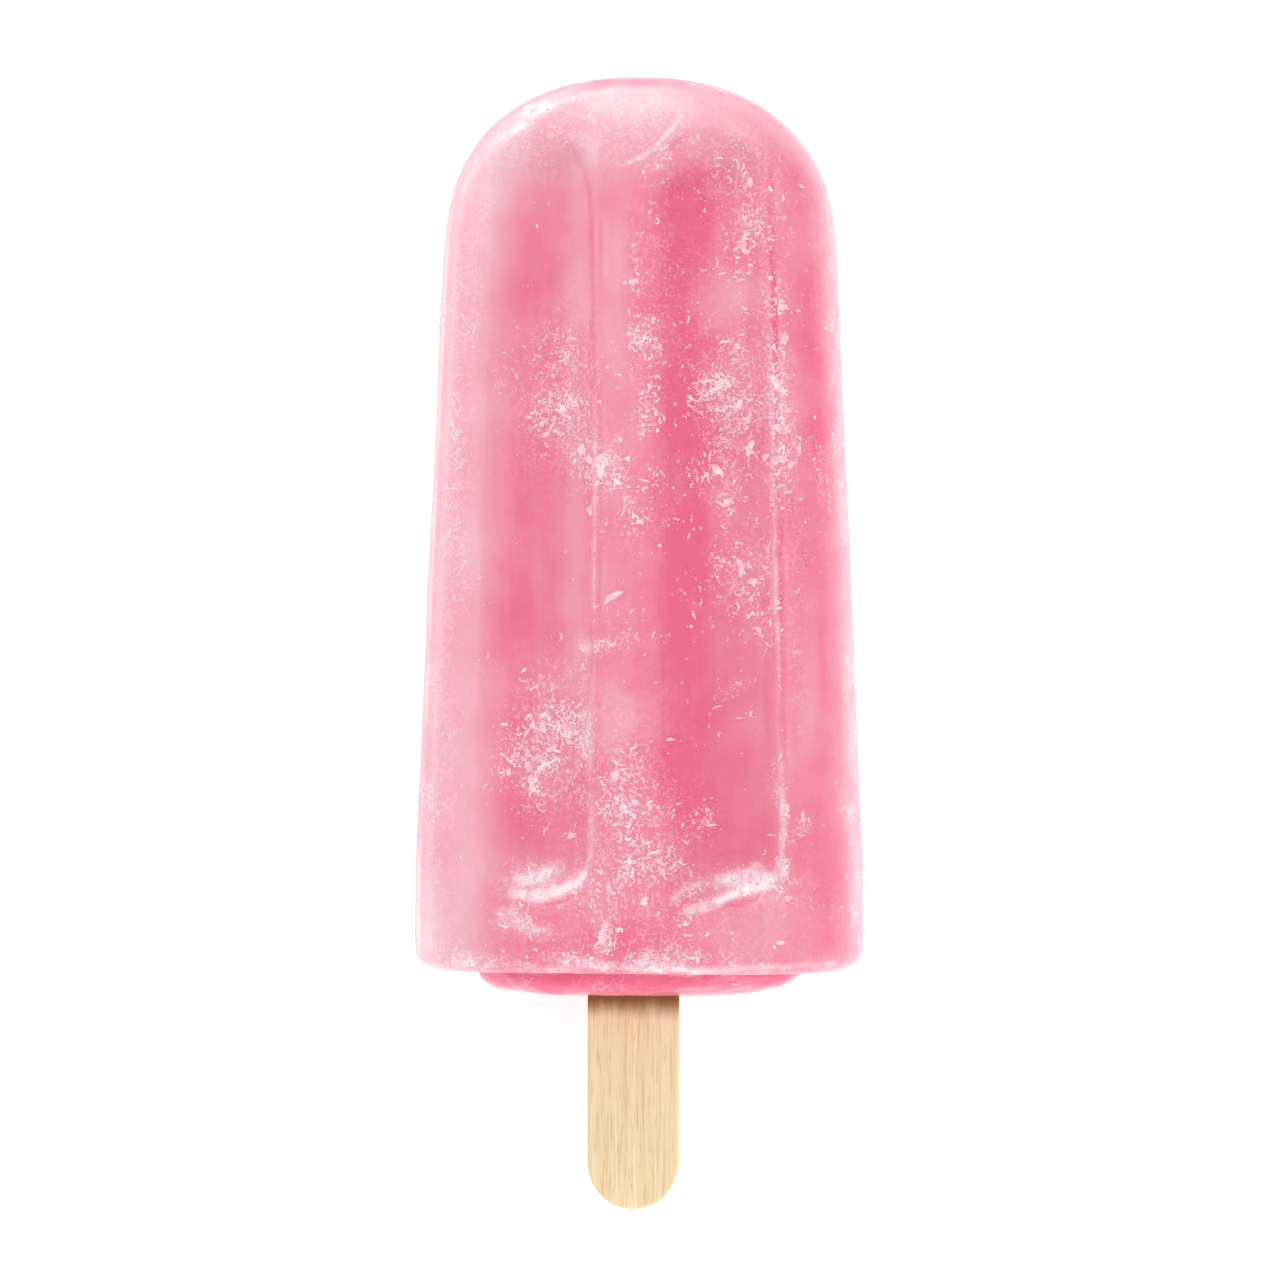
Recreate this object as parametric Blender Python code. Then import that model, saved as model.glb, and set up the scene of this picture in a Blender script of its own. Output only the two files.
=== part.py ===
"""Ice pop: a fluted bar of frozen fruit ice on a flat wooden stick, lying on its back.

The shapes are worked out in the mould frame: +Y runs from the shoulder at the bar's base to its tip, Z is
the thickness and y = 0 is the shoulder. The mould empty then lays the bar down, so that the crests of its
drafted back face lie flat on z = 0, with the middle of its length at y = 0.
"""

import math

import bmesh
import bpy
from mathutils import Matrix, Vector

MM = 0.001

# Bar of ice, from its shoulder to its tip.
BAR_LENGTH = 97.5 * MM
BASE_HALF_WIDTH = 24.5 * MM
TIP_HALF_WIDTH = 20.7 * MM  # where the drafted sides would meet the tip
STRAIGHT_BAND = 11.5 * MM  # stretch over the shoulder whose sides run parallel
BASE_HALF_THICKNESS = 12.0 * MM
TIP_HALF_THICKNESS = 9.8 * MM
CROWN_LENGTH = 22.0 * MM  # rounded head, seen from the front
CROWN_SIDE_LENGTH = 11.0 * MM  # rounded head, seen from the side
SHOULDER_ROUND_WIDTH = 2.7 * MM
SHOULDER_ROUND_LENGTH = 2.2 * MM
SHOULDER_ROUND_THICKNESS = 1.4 * MM

# Powers of the superellipses.
BAR_WIDTH_POWER = 7.0
BAR_THICKNESS_POWER = 2.2
CROWN_POWERS = (3.1, 2.1)
CROWN_SIDE_POWERS = (2.3, 2.0)
LIP_POWER = 2.4

# Lip of ice that froze above the mould's rim, under the shoulder.
LIP_HALF_WIDTH = 17.8 * MM
LIP_HALF_THICKNESS = 8.0 * MM
LIP_HEIGHT = 3.0 * MM

# Flutes: two on the front and two on the back, each cut by a gouge of round section.
FLUTE_TOP = 6.9 * MM  # from the tip to the flute's upper end
FLUTE_BOTTOM = 7.2 * MM  # from the shoulder to its lower end
FLUTE_TIP_CENTRE = 9.0 * MM
FLUTE_BASE_CENTRE = 10.3 * MM
FLUTE_TIP_HALF_WIDTH = 5.2 * MM
FLUTE_BASE_HALF_WIDTH = 6.3 * MM
FLUTE_TIP_DEPTH = 2.9 * MM
FLUTE_BASE_DEPTH = 3.6 * MM
FLUTE_TOP_POWER = 2.0
FLUTE_BOTTOM_POWER = 3.0

# Wooden stick, a common 93 x 10 x 2 mm size, frozen in slightly off the bar's middle.
STICK_LENGTH = 93.0 * MM
STICK_WIDTH = 10.0 * MM
STICK_THICKNESS = 2.0 * MM
STICK_SHOWN = 26.5 * MM  # from the shoulder to the stick's lower end
STICK_OFFSET = -0.6 * MM
STICK_EDGE_ROUND = 0.3 * MM
STICK_EDGE_STEPS = 2
SHARP_ANGLE = math.radians(40)  # edges bent more than this are eased
STICK_GAP = 0.3 * MM  # between the wood and the ice

# Plain finishes, with linear colours.
ICE_COLOUR = (0.86, 0.28, 0.38)
ICE_ROUGHNESS = 0.35
WOOD_COLOUR = (0.84, 0.66, 0.41)
WOOD_ROUGHNESS = 0.6

# How finely the round shapes are divided.
RING_POINTS = 60
BAR_RINGS = 24
CROWN_RINGS = 11
ROUND_RINGS = 4
LIP_RINGS = 5
GOUGE_POINTS = 32
GOUGE_RINGS = 12
GOUGE_END_RINGS = 6
STICK_END_POINTS = 14
CURVE_SAMPLES = 2400

DRAFT_SLOPE = (BASE_HALF_THICKNESS - TIP_HALF_THICKNESS) / BAR_LENGTH
DRAFT_ANGLE = math.atan(DRAFT_SLOPE)
MIDDLE = (BAR_LENGTH - STICK_SHOWN) / 2


def clear_scene():
    """Remove every object that the scene holds."""
    for obj in list(bpy.data.objects):
        bpy.data.objects.remove(obj)


def material(name, colour, roughness):
    """A plain Principled material."""
    made = bpy.data.materials.new(name)
    made.use_nodes = True
    shader = made.node_tree.nodes["Principled BSDF"]
    shader.inputs["Base Color"].default_value = (*colour, 1.0)
    shader.inputs["Roughness"].default_value = roughness
    return made


def mesh_object(name, bm, finish=None):
    """Link a bmesh as an object, with its faces pointing out."""
    bmesh.ops.recalc_face_normals(bm, faces=bm.faces)
    mesh = bpy.data.meshes.new(name)
    bm.to_mesh(mesh)
    bm.free()
    if finish:
        mesh.materials.append(finish)
    obj = bpy.data.objects.new(name, mesh)
    bpy.context.scene.collection.objects.link(obj)
    return obj


def closing(share, powers):
    """Superellipse that falls from 1 at share 1 to 0 at share 0, the rounded end of a bar."""
    inner, outer = powers
    share = min(max(share, 0.0), 1.0)
    return (1.0 - (1.0 - share) ** inner) ** (1.0 / outer)


def unit_section(width_power, thickness_power, aspect, count):
    """Points at even steps along the superellipse |x|^a + |z|^b = 1, drawn aspect times wider than deep."""
    dense = []
    for k in range(CURVE_SAMPLES):
        angle = 2 * math.pi * k / CURVE_SAMPLES
        c, s = math.cos(angle), math.sin(angle)
        dense.append((
            math.copysign(abs(c) ** (2 / width_power), c),
            math.copysign(abs(s) ** (2 / thickness_power), s),
        ))
    dense.append(dense[0])
    lengths = [0.0]
    for (x0, z0), (x1, z1) in zip(dense, dense[1:]):
        lengths.append(lengths[-1] + math.hypot((x1 - x0) * aspect, z1 - z0))
    points, at = [], 0
    for k in range(count):
        wanted = lengths[-1] * k / count
        while lengths[at + 1] < wanted:
            at += 1
        share = (wanted - lengths[at]) / (lengths[at + 1] - lengths[at])
        (x0, z0), (x1, z1) = dense[at], dense[at + 1]
        points.append((x0 + (x1 - x0) * share, z0 + (z1 - z0) * share))
    return points


def half_width(y):
    """Half of the bar's width: drafted sides, a straight band over the shoulder and the rounded crown."""
    from_tip = BAR_LENGTH - y
    growth = (BASE_HALF_WIDTH - TIP_HALF_WIDTH) / (BAR_LENGTH - STRAIGHT_BAND)
    width = min(BASE_HALF_WIDTH, TIP_HALF_WIDTH + growth * from_tip)
    return width * closing(from_tip / CROWN_LENGTH, CROWN_POWERS)


def half_thickness(y):
    """Half of the bar's thickness: drafted faces and the rounded crown."""
    from_tip = BAR_LENGTH - y
    return face_height(y) * closing(from_tip / CROWN_SIDE_LENGTH, CROWN_SIDE_POWERS)


def face_height(y):
    """Height of the drafted plane that the crests of a face lie in."""
    return BASE_HALF_THICKNESS - DRAFT_SLOPE * y


def bar_rings():
    """Cross-sections of the bar, from just under the tip down to the edge of its base."""
    section = unit_section(
        BAR_WIDTH_POWER, BAR_THICKNESS_POWER, BASE_HALF_WIDTH / BASE_HALF_THICKNESS, RING_POINTS
    )
    stations = []
    for k in range(1, CROWN_RINGS + 1):
        stations.append(BAR_LENGTH - CROWN_LENGTH * (1 - math.cos(math.pi / 2 * k / CROWN_RINGS)))
    body_end = SHOULDER_ROUND_LENGTH
    for k in range(1, BAR_RINGS + 1):
        stations.append((BAR_LENGTH - CROWN_LENGTH) * (1 - k / BAR_RINGS) + body_end * k / BAR_RINGS)
    rings = [[Vector((x * half_width(y), y, z * half_thickness(y))) for x, z in section] for y in stations]
    for k in range(1, ROUND_RINGS + 1):
        turn = math.pi / 2 * k / ROUND_RINGS
        y = SHOULDER_ROUND_LENGTH * (1 - math.sin(turn))
        across = half_width(y) - SHOULDER_ROUND_WIDTH * (1 - math.cos(turn))
        through = half_thickness(y) - SHOULDER_ROUND_THICKNESS * (1 - math.cos(turn))
        rings.append([Vector((x * across, y, z * through)) for x, z in section])
    return rings


def lip_rings():
    """Cross-sections of the lip, a shallow superelliptic dome that hangs under the shoulder."""
    section = unit_section(LIP_POWER, LIP_POWER, LIP_HALF_WIDTH / LIP_HALF_THICKNESS, RING_POINTS)
    rings = []
    for k in range(LIP_RINGS):
        turn = math.pi / 2 * k / LIP_RINGS
        size = math.cos(turn) ** (2 / LIP_POWER)
        y = -LIP_HEIGHT * math.sin(turn) ** (2 / LIP_POWER)
        across, through = LIP_HALF_WIDTH * size, LIP_HALF_THICKNESS * size
        rings.append([Vector((x * across, y, z * through)) for x, z in section])
    return rings


def loft(name, rings, first_pole, last_pole, finish=None):
    """Closed body through the rings, with a point at each end."""
    bm = bmesh.new()
    loops = [[bm.verts.new(point) for point in ring] for ring in rings]
    count = len(rings[0])
    for upper, lower in zip(loops, loops[1:]):
        for k in range(count):
            after = (k + 1) % count
            bm.faces.new((upper[k], upper[after], lower[after], lower[k]))
    for pole, loop in ((first_pole, loops[0]), (last_pole, loops[-1])):
        point = bm.verts.new(pole)
        for k in range(count):
            bm.faces.new((point, loop[k], loop[(k + 1) % count]))
    return mesh_object(name, bm, finish)


def gouge(name, side, face):
    """Cutter for one flute: side is -1 left or 1 right, face is 1 front or -1 back.

    Its round section of radius r lies with its centre a over the face, so that it cuts r - a deep. Both
    ends round off by a superellipse, the lower one more squarely than the upper one.
    """

    def sizes(y):
        share = y / BAR_LENGTH
        half = FLUTE_BASE_HALF_WIDTH + (FLUTE_TIP_HALF_WIDTH - FLUTE_BASE_HALF_WIDTH) * share
        depth = FLUTE_BASE_DEPTH + (FLUTE_TIP_DEPTH - FLUTE_BASE_DEPTH) * share
        centre = FLUTE_BASE_CENTRE + (FLUTE_TIP_CENTRE - FLUTE_BASE_CENTRE) * share
        radius = (half**2 + depth**2) / (2 * depth)
        return centre, radius, radius - depth

    top, bottom = BAR_LENGTH - FLUTE_TOP, FLUTE_BOTTOM
    _, top_radius, top_rise = sizes(top)
    _, bottom_radius, bottom_rise = sizes(bottom)
    # Where each end starts to round off, so that the cut meets the face at the flute's stated ends.
    upper = top - top_radius * (1 - (top_rise / top_radius) ** FLUTE_TOP_POWER) ** (1 / FLUTE_TOP_POWER)
    lower_reach = (1 - (bottom_rise / bottom_radius) ** FLUTE_BOTTOM_POWER) ** (1 / FLUTE_BOTTOM_POWER)
    lower = bottom + bottom_radius * lower_reach
    stations = []
    for k in range(1, GOUGE_END_RINGS + 1):
        turn = math.pi / 2 * k / GOUGE_END_RINGS
        scale = math.sin(turn) ** (2 / FLUTE_TOP_POWER)
        stations.append((upper + top_radius * math.cos(turn) ** (2 / FLUTE_TOP_POWER), scale))
    for k in range(1, GOUGE_RINGS):
        stations.append((upper + (lower - upper) * k / GOUGE_RINGS, 1.0))
    for k in range(GOUGE_END_RINGS):
        turn = math.pi / 2 * k / GOUGE_END_RINGS
        scale = math.cos(turn) ** (2 / FLUTE_BOTTOM_POWER)
        stations.append((lower - bottom_radius * math.sin(turn) ** (2 / FLUTE_BOTTOM_POWER), scale))
    rings = []
    for y, scale in stations:
        centre, radius, rise = sizes(y)
        ring = []
        for k in range(GOUGE_POINTS):
            angle = 2 * math.pi * (k + 0.5) / GOUGE_POINTS
            x = side * centre + radius * scale * math.cos(angle)
            z = face * (face_height(y) + rise + radius * scale * math.sin(angle))
            ring.append(Vector((x, y, z)))
        rings.append(ring)
    top_y = upper + top_radius
    end_y = lower - bottom_radius
    poles = []
    for y in (top_y, end_y):
        centre, _, rise = sizes(y)
        poles.append(Vector((side * centre, y, face * (face_height(y) + rise))))
    return as_cutter(loft(name, rings, *poles))


def as_cutter(obj):
    """Mark an object as a cutter, which isn't part of the model."""
    obj.hide_render = True
    obj.display_type = "WIRE"
    return obj


def stick_shape(name, grow, finish=None):
    """Flat stick with two half-round ends, grown on every side by grow."""
    half = STICK_WIDTH / 2 + grow
    low = -STICK_SHOWN + STICK_WIDTH / 2
    high = low + STICK_LENGTH - STICK_WIDTH
    outline = []
    for centre, start in ((high, 0.0), (low, math.pi)):
        for k in range(STICK_END_POINTS + 1):
            angle = start + math.pi * k / STICK_END_POINTS
            outline.append((STICK_OFFSET + half * math.cos(angle), centre + half * math.sin(angle)))
    bm = bmesh.new()
    depth = STICK_THICKNESS / 2 + grow
    face = bm.faces.new([bm.verts.new((x, y, -depth)) for x, y in outline])
    raised = bmesh.ops.extrude_face_region(bm, geom=[face])["geom"]
    lifted = [item for item in raised if isinstance(item, bmesh.types.BMVert)]
    bmesh.ops.translate(bm, verts=lifted, vec=(0, 0, 2 * depth))
    return mesh_object(name, bm, finish)


def cut(obj, cutter):
    """Subtract the cutter from the object with a live Boolean."""
    boolean = obj.modifiers.new(cutter.name, "BOOLEAN")
    boolean.operation = "DIFFERENCE"
    boolean.solver = "EXACT"
    boolean.object = cutter


def build_ice(mould):
    """Bar, shoulder and lip as one body, with its four flutes and the slot that the stick is frozen into."""
    finish = material("fruit_ice", ICE_COLOUR, ICE_ROUGHNESS)
    rings = bar_rings() + lip_rings()
    ice = loft("ice", rings, Vector((0, BAR_LENGTH, 0)), Vector((0, -LIP_HEIGHT, 0)), finish)
    ice.parent = mould
    cutters = [
        gouge(f"flute_cutter_{face_name}_{side_name}", side, face)
        for face_name, face in (("front", 1), ("back", -1))
        for side_name, side in (("left", -1), ("right", 1))
    ]
    cutters.append(as_cutter(stick_shape("slot_cutter", STICK_GAP)))
    for cutter in cutters:
        cutter.parent = mould
        cut(ice, cutter)
    return ice


def build_stick(mould):
    """The wooden stick, with its long edges eased."""
    finish = material("birch_wood", WOOD_COLOUR, WOOD_ROUGHNESS)
    stick = stick_shape("stick", 0.0, finish)
    stick.parent = mould
    bevel = stick.modifiers.new("eased_edges", "BEVEL")
    bevel.width = STICK_EDGE_ROUND
    bevel.segments = STICK_EDGE_STEPS
    bevel.limit_method = "ANGLE"
    bevel.angle_limit = SHARP_ANGLE
    return stick


def main():
    """Build the pop and lay it down on the crests of its back."""
    clear_scene()
    mould = bpy.data.objects.new("mould", None)
    bpy.context.scene.collection.objects.link(mould)
    build_ice(mould)
    build_stick(mould)
    lay_down = Matrix.Rotation(-DRAFT_ANGLE, 4, "X") @ Matrix.Translation((0, -MIDDLE, 0))
    crest = lay_down @ Vector((0, 0, -face_height(0)))
    mould.matrix_world = Matrix.Translation((0, 0, -crest.z)) @ lay_down


main()
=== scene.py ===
"""Looks of a moulded fruit-ice bar on a wooden stick: the frosted skin, the frost on it and the wood.

The skin and the frost are worked out in the mould frame, in millimetres: +Y runs from the shoulder (y = 0)
to the tip, Z is the thickness and X the width. Mould.lay_down then carries every point to the row frame,
where the bar lies on the crests of its back, and make_piece writes it in metres.
"""

import logging
import math
from dataclasses import dataclass, field
from enum import Enum, IntEnum
from typing import Sequence

import bpy
import numpy as np
from mathutils import Matrix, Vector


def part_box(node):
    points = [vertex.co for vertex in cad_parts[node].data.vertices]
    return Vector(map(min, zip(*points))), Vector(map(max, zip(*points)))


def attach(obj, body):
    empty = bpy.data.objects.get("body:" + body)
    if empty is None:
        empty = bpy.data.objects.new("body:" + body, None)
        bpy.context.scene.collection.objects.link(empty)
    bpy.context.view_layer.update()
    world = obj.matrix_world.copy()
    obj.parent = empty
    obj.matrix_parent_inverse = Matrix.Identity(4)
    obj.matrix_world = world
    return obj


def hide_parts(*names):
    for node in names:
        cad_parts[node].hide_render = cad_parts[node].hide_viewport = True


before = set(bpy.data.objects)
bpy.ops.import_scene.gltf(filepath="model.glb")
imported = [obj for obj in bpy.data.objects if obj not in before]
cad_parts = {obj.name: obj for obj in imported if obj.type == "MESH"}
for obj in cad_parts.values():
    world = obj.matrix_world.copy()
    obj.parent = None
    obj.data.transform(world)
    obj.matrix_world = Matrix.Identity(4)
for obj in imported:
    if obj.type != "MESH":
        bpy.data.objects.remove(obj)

Array = np.ndarray
Socket = bpy.types.NodeSocket
Value = Socket | float | tuple[float, ...]

log = logging.getLogger("ice_pop")
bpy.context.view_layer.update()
MM = 0.001
BODY = "root"
SEED = 41
NUMBER, VECTOR = "NodeSocketFloat", "NodeSocketVector"
ICE_IOR = 1.33
WHITE = (1.0, 1.0, 1.0, 1.0)


class Draw(IntEnum):
    """Seed of each random field and scatter."""

    BACK_CLUMPS = SEED + 1
    BACK_SAND = SEED + 2
    BACK_CLOUDS = SEED + 3
    BACK_DEEPS = SEED + 4
    BACK_SNOW = SEED + 5
    RAGGED = SEED + 10
    WARP_ACROSS = SEED + 11
    WARP_ACROSS_FINE = SEED + 15
    WARP_ALONG = SEED + 16
    WARP_ALONG_FINE = SEED + 19
    THIN_FROST = SEED + 20
    STIPPLE = SEED + 21
    WAVER_X = SEED + 22
    WAVER_Y = SEED + 24
    WAVER_Z = SEED + 26
    STIPPLE_FINE = SEED + 28
    DRIFT = SEED + 30
    ARRIS_BREAKS = SEED + 31
    EDGE_BREAKS = SEED + 32
    WAVES = SEED + 40
    LUMPS = SEED + 41
    ROUGHNESS = SEED + 42
    CRUST = SEED + 43
    LIP = SEED + 44
    LIP_FINE = SEED + 47
    SNOW = SEED + 48
    GATHERING = SEED + 50
    GRAINS = SEED + 60
    CURLS = SEED + 70
    FLAKES = SEED + 80


class Finish(Enum):
    """Name for the ice's material slot, which nothing here assigns; the wood's is on the CAD stick."""

    ICE = "fruit_ice"


def srgb(red: int, green: int, blue: int) -> tuple[float, float, float, float]:
    """Turn a colour seen on a screen into a linear one.

    Args:
        red, green, blue: Screen values, 0 to 255.

    Returns:
        Linear colour with full opacity: c / 12.92 near black, else ((c + 0.055) / 1.055) ** 2.4.
    """
    shares = (red / 255, green / 255, blue / 255)
    return (*(c / 12.92 if c <= 0.04045 else ((c + 0.055) / 1.055) ** 2.4 for c in shares), 1.0)


def smooth_step(low: float, high: float, value: Array) -> Array:
    """Rise from 0 at low to 1 at high along 3 t^2 - 2 t^3."""
    t = np.clip((value - low) / (high - low), 0.0, 1.0)
    return t * t * (3.0 - 2.0 * t)


def bell(value: Array, centre: float, width: float) -> Array:
    """Bell curve of height 1: exp(-((value - centre) / width)^2)."""
    return np.exp(-(((value - centre) / width) ** 2))


def soft_min(a: Array, b: Array, blend: float) -> Array:
    """Lesser of a and b, with the corner where they cross rounded: min - h^2 blend / 4, h the closeness."""
    close = np.maximum(blend - np.abs(a - b), 0.0) / blend
    return np.minimum(a, b) - close * close * blend / 4.0


def lattice_noise(points: Array, cell: float | tuple[float, float, float], seed: int) -> Array:
    """Smooth random field of points in space.

    Random values stand on a repeating cubic lattice, and each point takes the mix of its cell's eight
    corners, weighted by 3 t^2 - 2 t^3 along each axis.

    Args:
        points: Places, shape (..., 3), in millimetres.
        cell: Size of a lattice cell, one number or one for each axis.
        seed: Seed of the lattice's values.

    Returns:
        Values from -1 to 1, shape (...).
    """
    count = 48
    table = np.random.default_rng(seed).uniform(-1.0, 1.0, (count, count, count))
    place = points / np.asarray(cell) + 1000.0
    base = np.floor(place).astype(int)
    t = place - base
    t = t * t * (3.0 - 2.0 * t)
    low, high = base % count, (base + 1) % count
    total = np.zeros(points.shape[:-1])
    for dx, dy, dz in np.ndindex(2, 2, 2):
        ix = (high if dx else low)[..., 0]
        iy = (high if dy else low)[..., 1]
        iz = (high if dz else low)[..., 2]
        weight = (t if dx else 1 - t)[..., 0] * (t if dy else 1 - t)[..., 1] * (t if dz else 1 - t)[..., 2]
        total += weight * table[ix, iy, iz]
    return total


def billow(points: Array, cell: float, seed: int, layers: int = 3) -> Array:
    """Sum of lattice noises, each of half the cell and half the height of the one before, about -1 to 1."""
    total = np.zeros(points.shape[:-1])
    for k in range(layers):
        total += lattice_noise(points, cell / 2**k, seed + k) / 2**k
    return total / 1.5


@dataclass(frozen=True)
class Mould:
    """The mould's sizes in millimetres, and the shape of the bar that it gives."""

    length: float = 97.5
    base_half_width: float = 24.5
    tip_half_width: float = 20.7
    straight_band: float = 11.5
    base_half_thickness: float = 12.0
    tip_half_thickness: float = 9.8
    crown_length: float = 22.0
    crown_side_length: float = 11.0
    crown_powers: tuple[float, float] = (3.1, 2.1)
    crown_side_powers: tuple[float, float] = (2.3, 2.0)
    width_power: float = 7.0
    thickness_power: float = 2.2
    stick_shown: float = 26.5

    @property
    def slope(self) -> float:
        """Draft of the broad faces, in millimetres of height for each one of length."""
        return (self.base_half_thickness - self.tip_half_thickness) / self.length

    @staticmethod
    def closing(share: Array, powers: tuple[float, float]) -> Array:
        """Rounded end: (1 - (1 - share)^inner)^(1 / outer), 0 at the tip and 1 from share 1 on."""
        inner, outer = powers
        return (1.0 - (1.0 - np.clip(share, 0.0, 1.0)) ** inner) ** (1.0 / outer)

    def half_width(self, y: Array) -> Array:
        """Half width: straight drafted sides up to a parallel band, times the crown's closing."""
        from_tip = self.length - y
        growth = (self.base_half_width - self.tip_half_width) / (self.length - self.straight_band)
        drafted = np.minimum(self.base_half_width, self.tip_half_width + growth * from_tip)
        return drafted * self.closing(from_tip / self.crown_length, self.crown_powers)

    def face_height(self, y: Array) -> Array:
        """Height of the drafted plane that holds the crests of a broad face."""
        return self.base_half_thickness - self.slope * y

    def half_thickness(self, y: Array) -> Array:
        """Half thickness: the drafted face's height times the crown's closing seen from the side."""
        share = (self.length - y) / self.crown_side_length
        return self.face_height(y) * self.closing(share, self.crown_side_powers)

    def section(self, count: int, turn_share: float = 0.9) -> Array:
        """Unit cross-section |x|^a + |z|^b = 1, counter-clockwise from +X.

        Where |x| is under turn_share, x runs evenly and z = (1 - |x|^a)^(1/b); on the two sides z runs
        evenly and x = (1 - |z|^b)^(1/a), so that the points stay close everywhere.

        Args:
            count: Points on each of the four stretches.
            turn_share: |x| at which one rule takes over from the other.

        Returns:
            Points (x, z), shape (4 count, 2).
        """
        a, b = self.width_power, self.thickness_power
        z_turn = (1.0 - turn_share**a) ** (1.0 / b)
        x_run = np.linspace(turn_share, -turn_share, count, endpoint=False)
        z_run = np.linspace(-z_turn, z_turn, count, endpoint=False)
        right = np.stack([(1.0 - np.abs(z_run) ** b) ** (1.0 / a), z_run], axis=-1)
        front = np.stack([x_run, (1.0 - np.abs(x_run) ** a) ** (1.0 / b)], axis=-1)
        ring = np.concatenate([right, front, -right, -front])
        return np.roll(ring, -(count // 2), axis=0)

    def lay_down(self, points: Array) -> Array:
        """Turn the mould frame by the draft angle about X, so that the back's crests lie on z = 0."""
        angle = math.atan(self.slope)
        middle = (self.length - self.stick_shown) / 2.0
        y = points[..., 1] - middle
        z = points[..., 2]
        lift = self.base_half_thickness * math.cos(angle) - middle * math.sin(angle)
        laid_y = y * math.cos(angle) + z * math.sin(angle)
        laid_z = z * math.cos(angle) - y * math.sin(angle) + lift
        return np.stack([points[..., 0], laid_y, np.maximum(laid_z, 0.0)], axis=-1)


@dataclass(frozen=True)
class Flutes:
    """The two flutes of one broad face, as cut by a gouge of round section that narrows to the tip."""

    mould: Mould
    top_margin: float = 6.9
    bottom_margin: float = 7.2
    centres: tuple[float, float] = (10.3, 9.0)
    half_widths: tuple[float, float] = (6.3, 5.2)
    depths: tuple[float, float] = (3.6, 2.9)
    top_power: float = 2.0
    bottom_power: float = 3.0
    crisp_blend: float = 0.9
    soft_blend: float = 4.2

    def sizes(self, y: Array) -> tuple[Array, Array, Array, Array]:
        """Centre, half width, radius and the height of the gouge's axis over the face, at each y."""
        share = y / self.mould.length
        centre, half, depth = (a + (b - a) * share for a, b in (self.centres, self.half_widths, self.depths))
        radius = (half**2 + depth**2) / (2.0 * depth)
        return centre, half, radius, radius - depth

    def reach(self, y: Array) -> Array:
        """Share of the gouge's radius at y: 1 along the flute, (1 - t^p)^(1/p) over its rounded ends."""
        top, bottom = self.mould.length - self.top_margin, self.bottom_margin
        _, _, top_radius, top_rise = self.sizes(top)
        _, _, low_radius, low_rise = self.sizes(bottom)
        p, q = self.top_power, self.bottom_power
        upper = top - top_radius * (1.0 - (top_rise / top_radius) ** p) ** (1.0 / p)
        lower = bottom + low_radius * (1.0 - (low_rise / low_radius) ** q) ** (1.0 / q)
        up = np.clip((y - upper) / top_radius, 0.0, 1.0)
        down = np.clip((lower - y) / low_radius, 0.0, 1.0)
        return np.minimum((1.0 - up**p) ** (1.0 / p), (1.0 - down**q) ** (1.0 / q))

    def depth(self, x: Array, y: Array) -> Array:
        """Depth of the cut under the crests: sqrt((r f)^2 - (x - c)^2) - a, negative where it misses."""
        centre, _, radius, rise = self.sizes(y)
        inside = (radius * self.reach(y)) ** 2 - (np.abs(x) - centre) ** 2
        return np.sqrt(np.maximum(inside, 0.0)) - rise

    def carve(self, x: Array, y: Array, z: Array) -> Array:
        """Lower the section's height z to the flutes' floor, on both faces.

        The arris that faces the left edge has melted round, and the one that faces the right is crisper.
        """
        floor = self.mould.face_height(y) - self.depth(x, y)
        share, _ = self.position(x, y)
        melted = smooth_step(0.3, -0.9, share * np.sign(z))
        blend = self.crisp_blend + (self.soft_blend - self.crisp_blend) * melted
        return np.sign(z) * np.where(np.abs(z) > 1.0, soft_min(np.abs(z), floor, blend), np.abs(z))

    def position(self, x: Array, y: Array) -> tuple[Array, Array]:
        """Where a point stands against the nearer flute.

        Returns:
            Share across the flute, -1 at its left arris and 1 at its right one, and whether it is
            between the flute's ends, from 0 to 1.
        """
        centre, half, _, _ = self.sizes(y)
        share = (x - np.where(x < 0.0, -centre, centre)) / half
        top = self.mould.length - self.top_margin
        within = smooth_step(self.bottom_margin - 1.0, self.bottom_margin + 4.0, y)
        return share, within * (1.0 - smooth_step(top - 5.0, top, y))


@dataclass(frozen=True)
class Patch:
    """A place on a broad face, in shares of the bar's half width and length; a high edge makes it crisp."""

    across: float
    along: float
    wide: float
    tall: float
    strength: float = 1.0
    edge: float = 1.0


def patches(*rows: tuple[float, ...]) -> tuple[Patch, ...]:
    """Patches from rows of across, along, wide, tall, strength and, where the edge is crisp, its power."""
    return tuple(Patch(*row) for row in rows)


def patch_field(places: Sequence[Patch], across: Array, along: Array) -> Array:
    """Sum of each patch's strength times exp(-s^edge), with s = (dx / wide)^2 + (dy / tall)^2."""
    total = np.zeros(across.shape)
    for patch in places:
        spread = ((across - patch.across) / patch.wide) ** 2 + ((along - patch.along) / patch.tall) ** 2
        total += patch.strength * np.exp(-(spread**patch.edge))
    return total


@dataclass(frozen=True)
class Stroke:
    """A soft line on the front through a few places, each in shares of the bar's half width and length."""

    places: tuple[tuple[float, float], ...]
    wide: float
    strength: float = 1.0


def strokes(*rows: tuple) -> tuple[Stroke, ...]:
    """Strokes from rows of half width in millimetres, strength and then the places."""
    return tuple(Stroke(tuple(places), wide, strength) for wide, strength, *places in rows)


def rounded_line(knots: Array, rounds: int = 2) -> Array:
    """Cut the corners of a line of points: each inner stretch is replaced by its points at 1/4 and 3/4."""
    for _ in range(rounds):
        a, b = knots[:-1], knots[1:]
        cut = np.stack([0.75 * a + 0.25 * b, 0.25 * a + 0.75 * b], axis=1).reshape(-1, 2)
        knots = np.concatenate([knots[:1], cut, knots[-1:]])
    return knots


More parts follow.
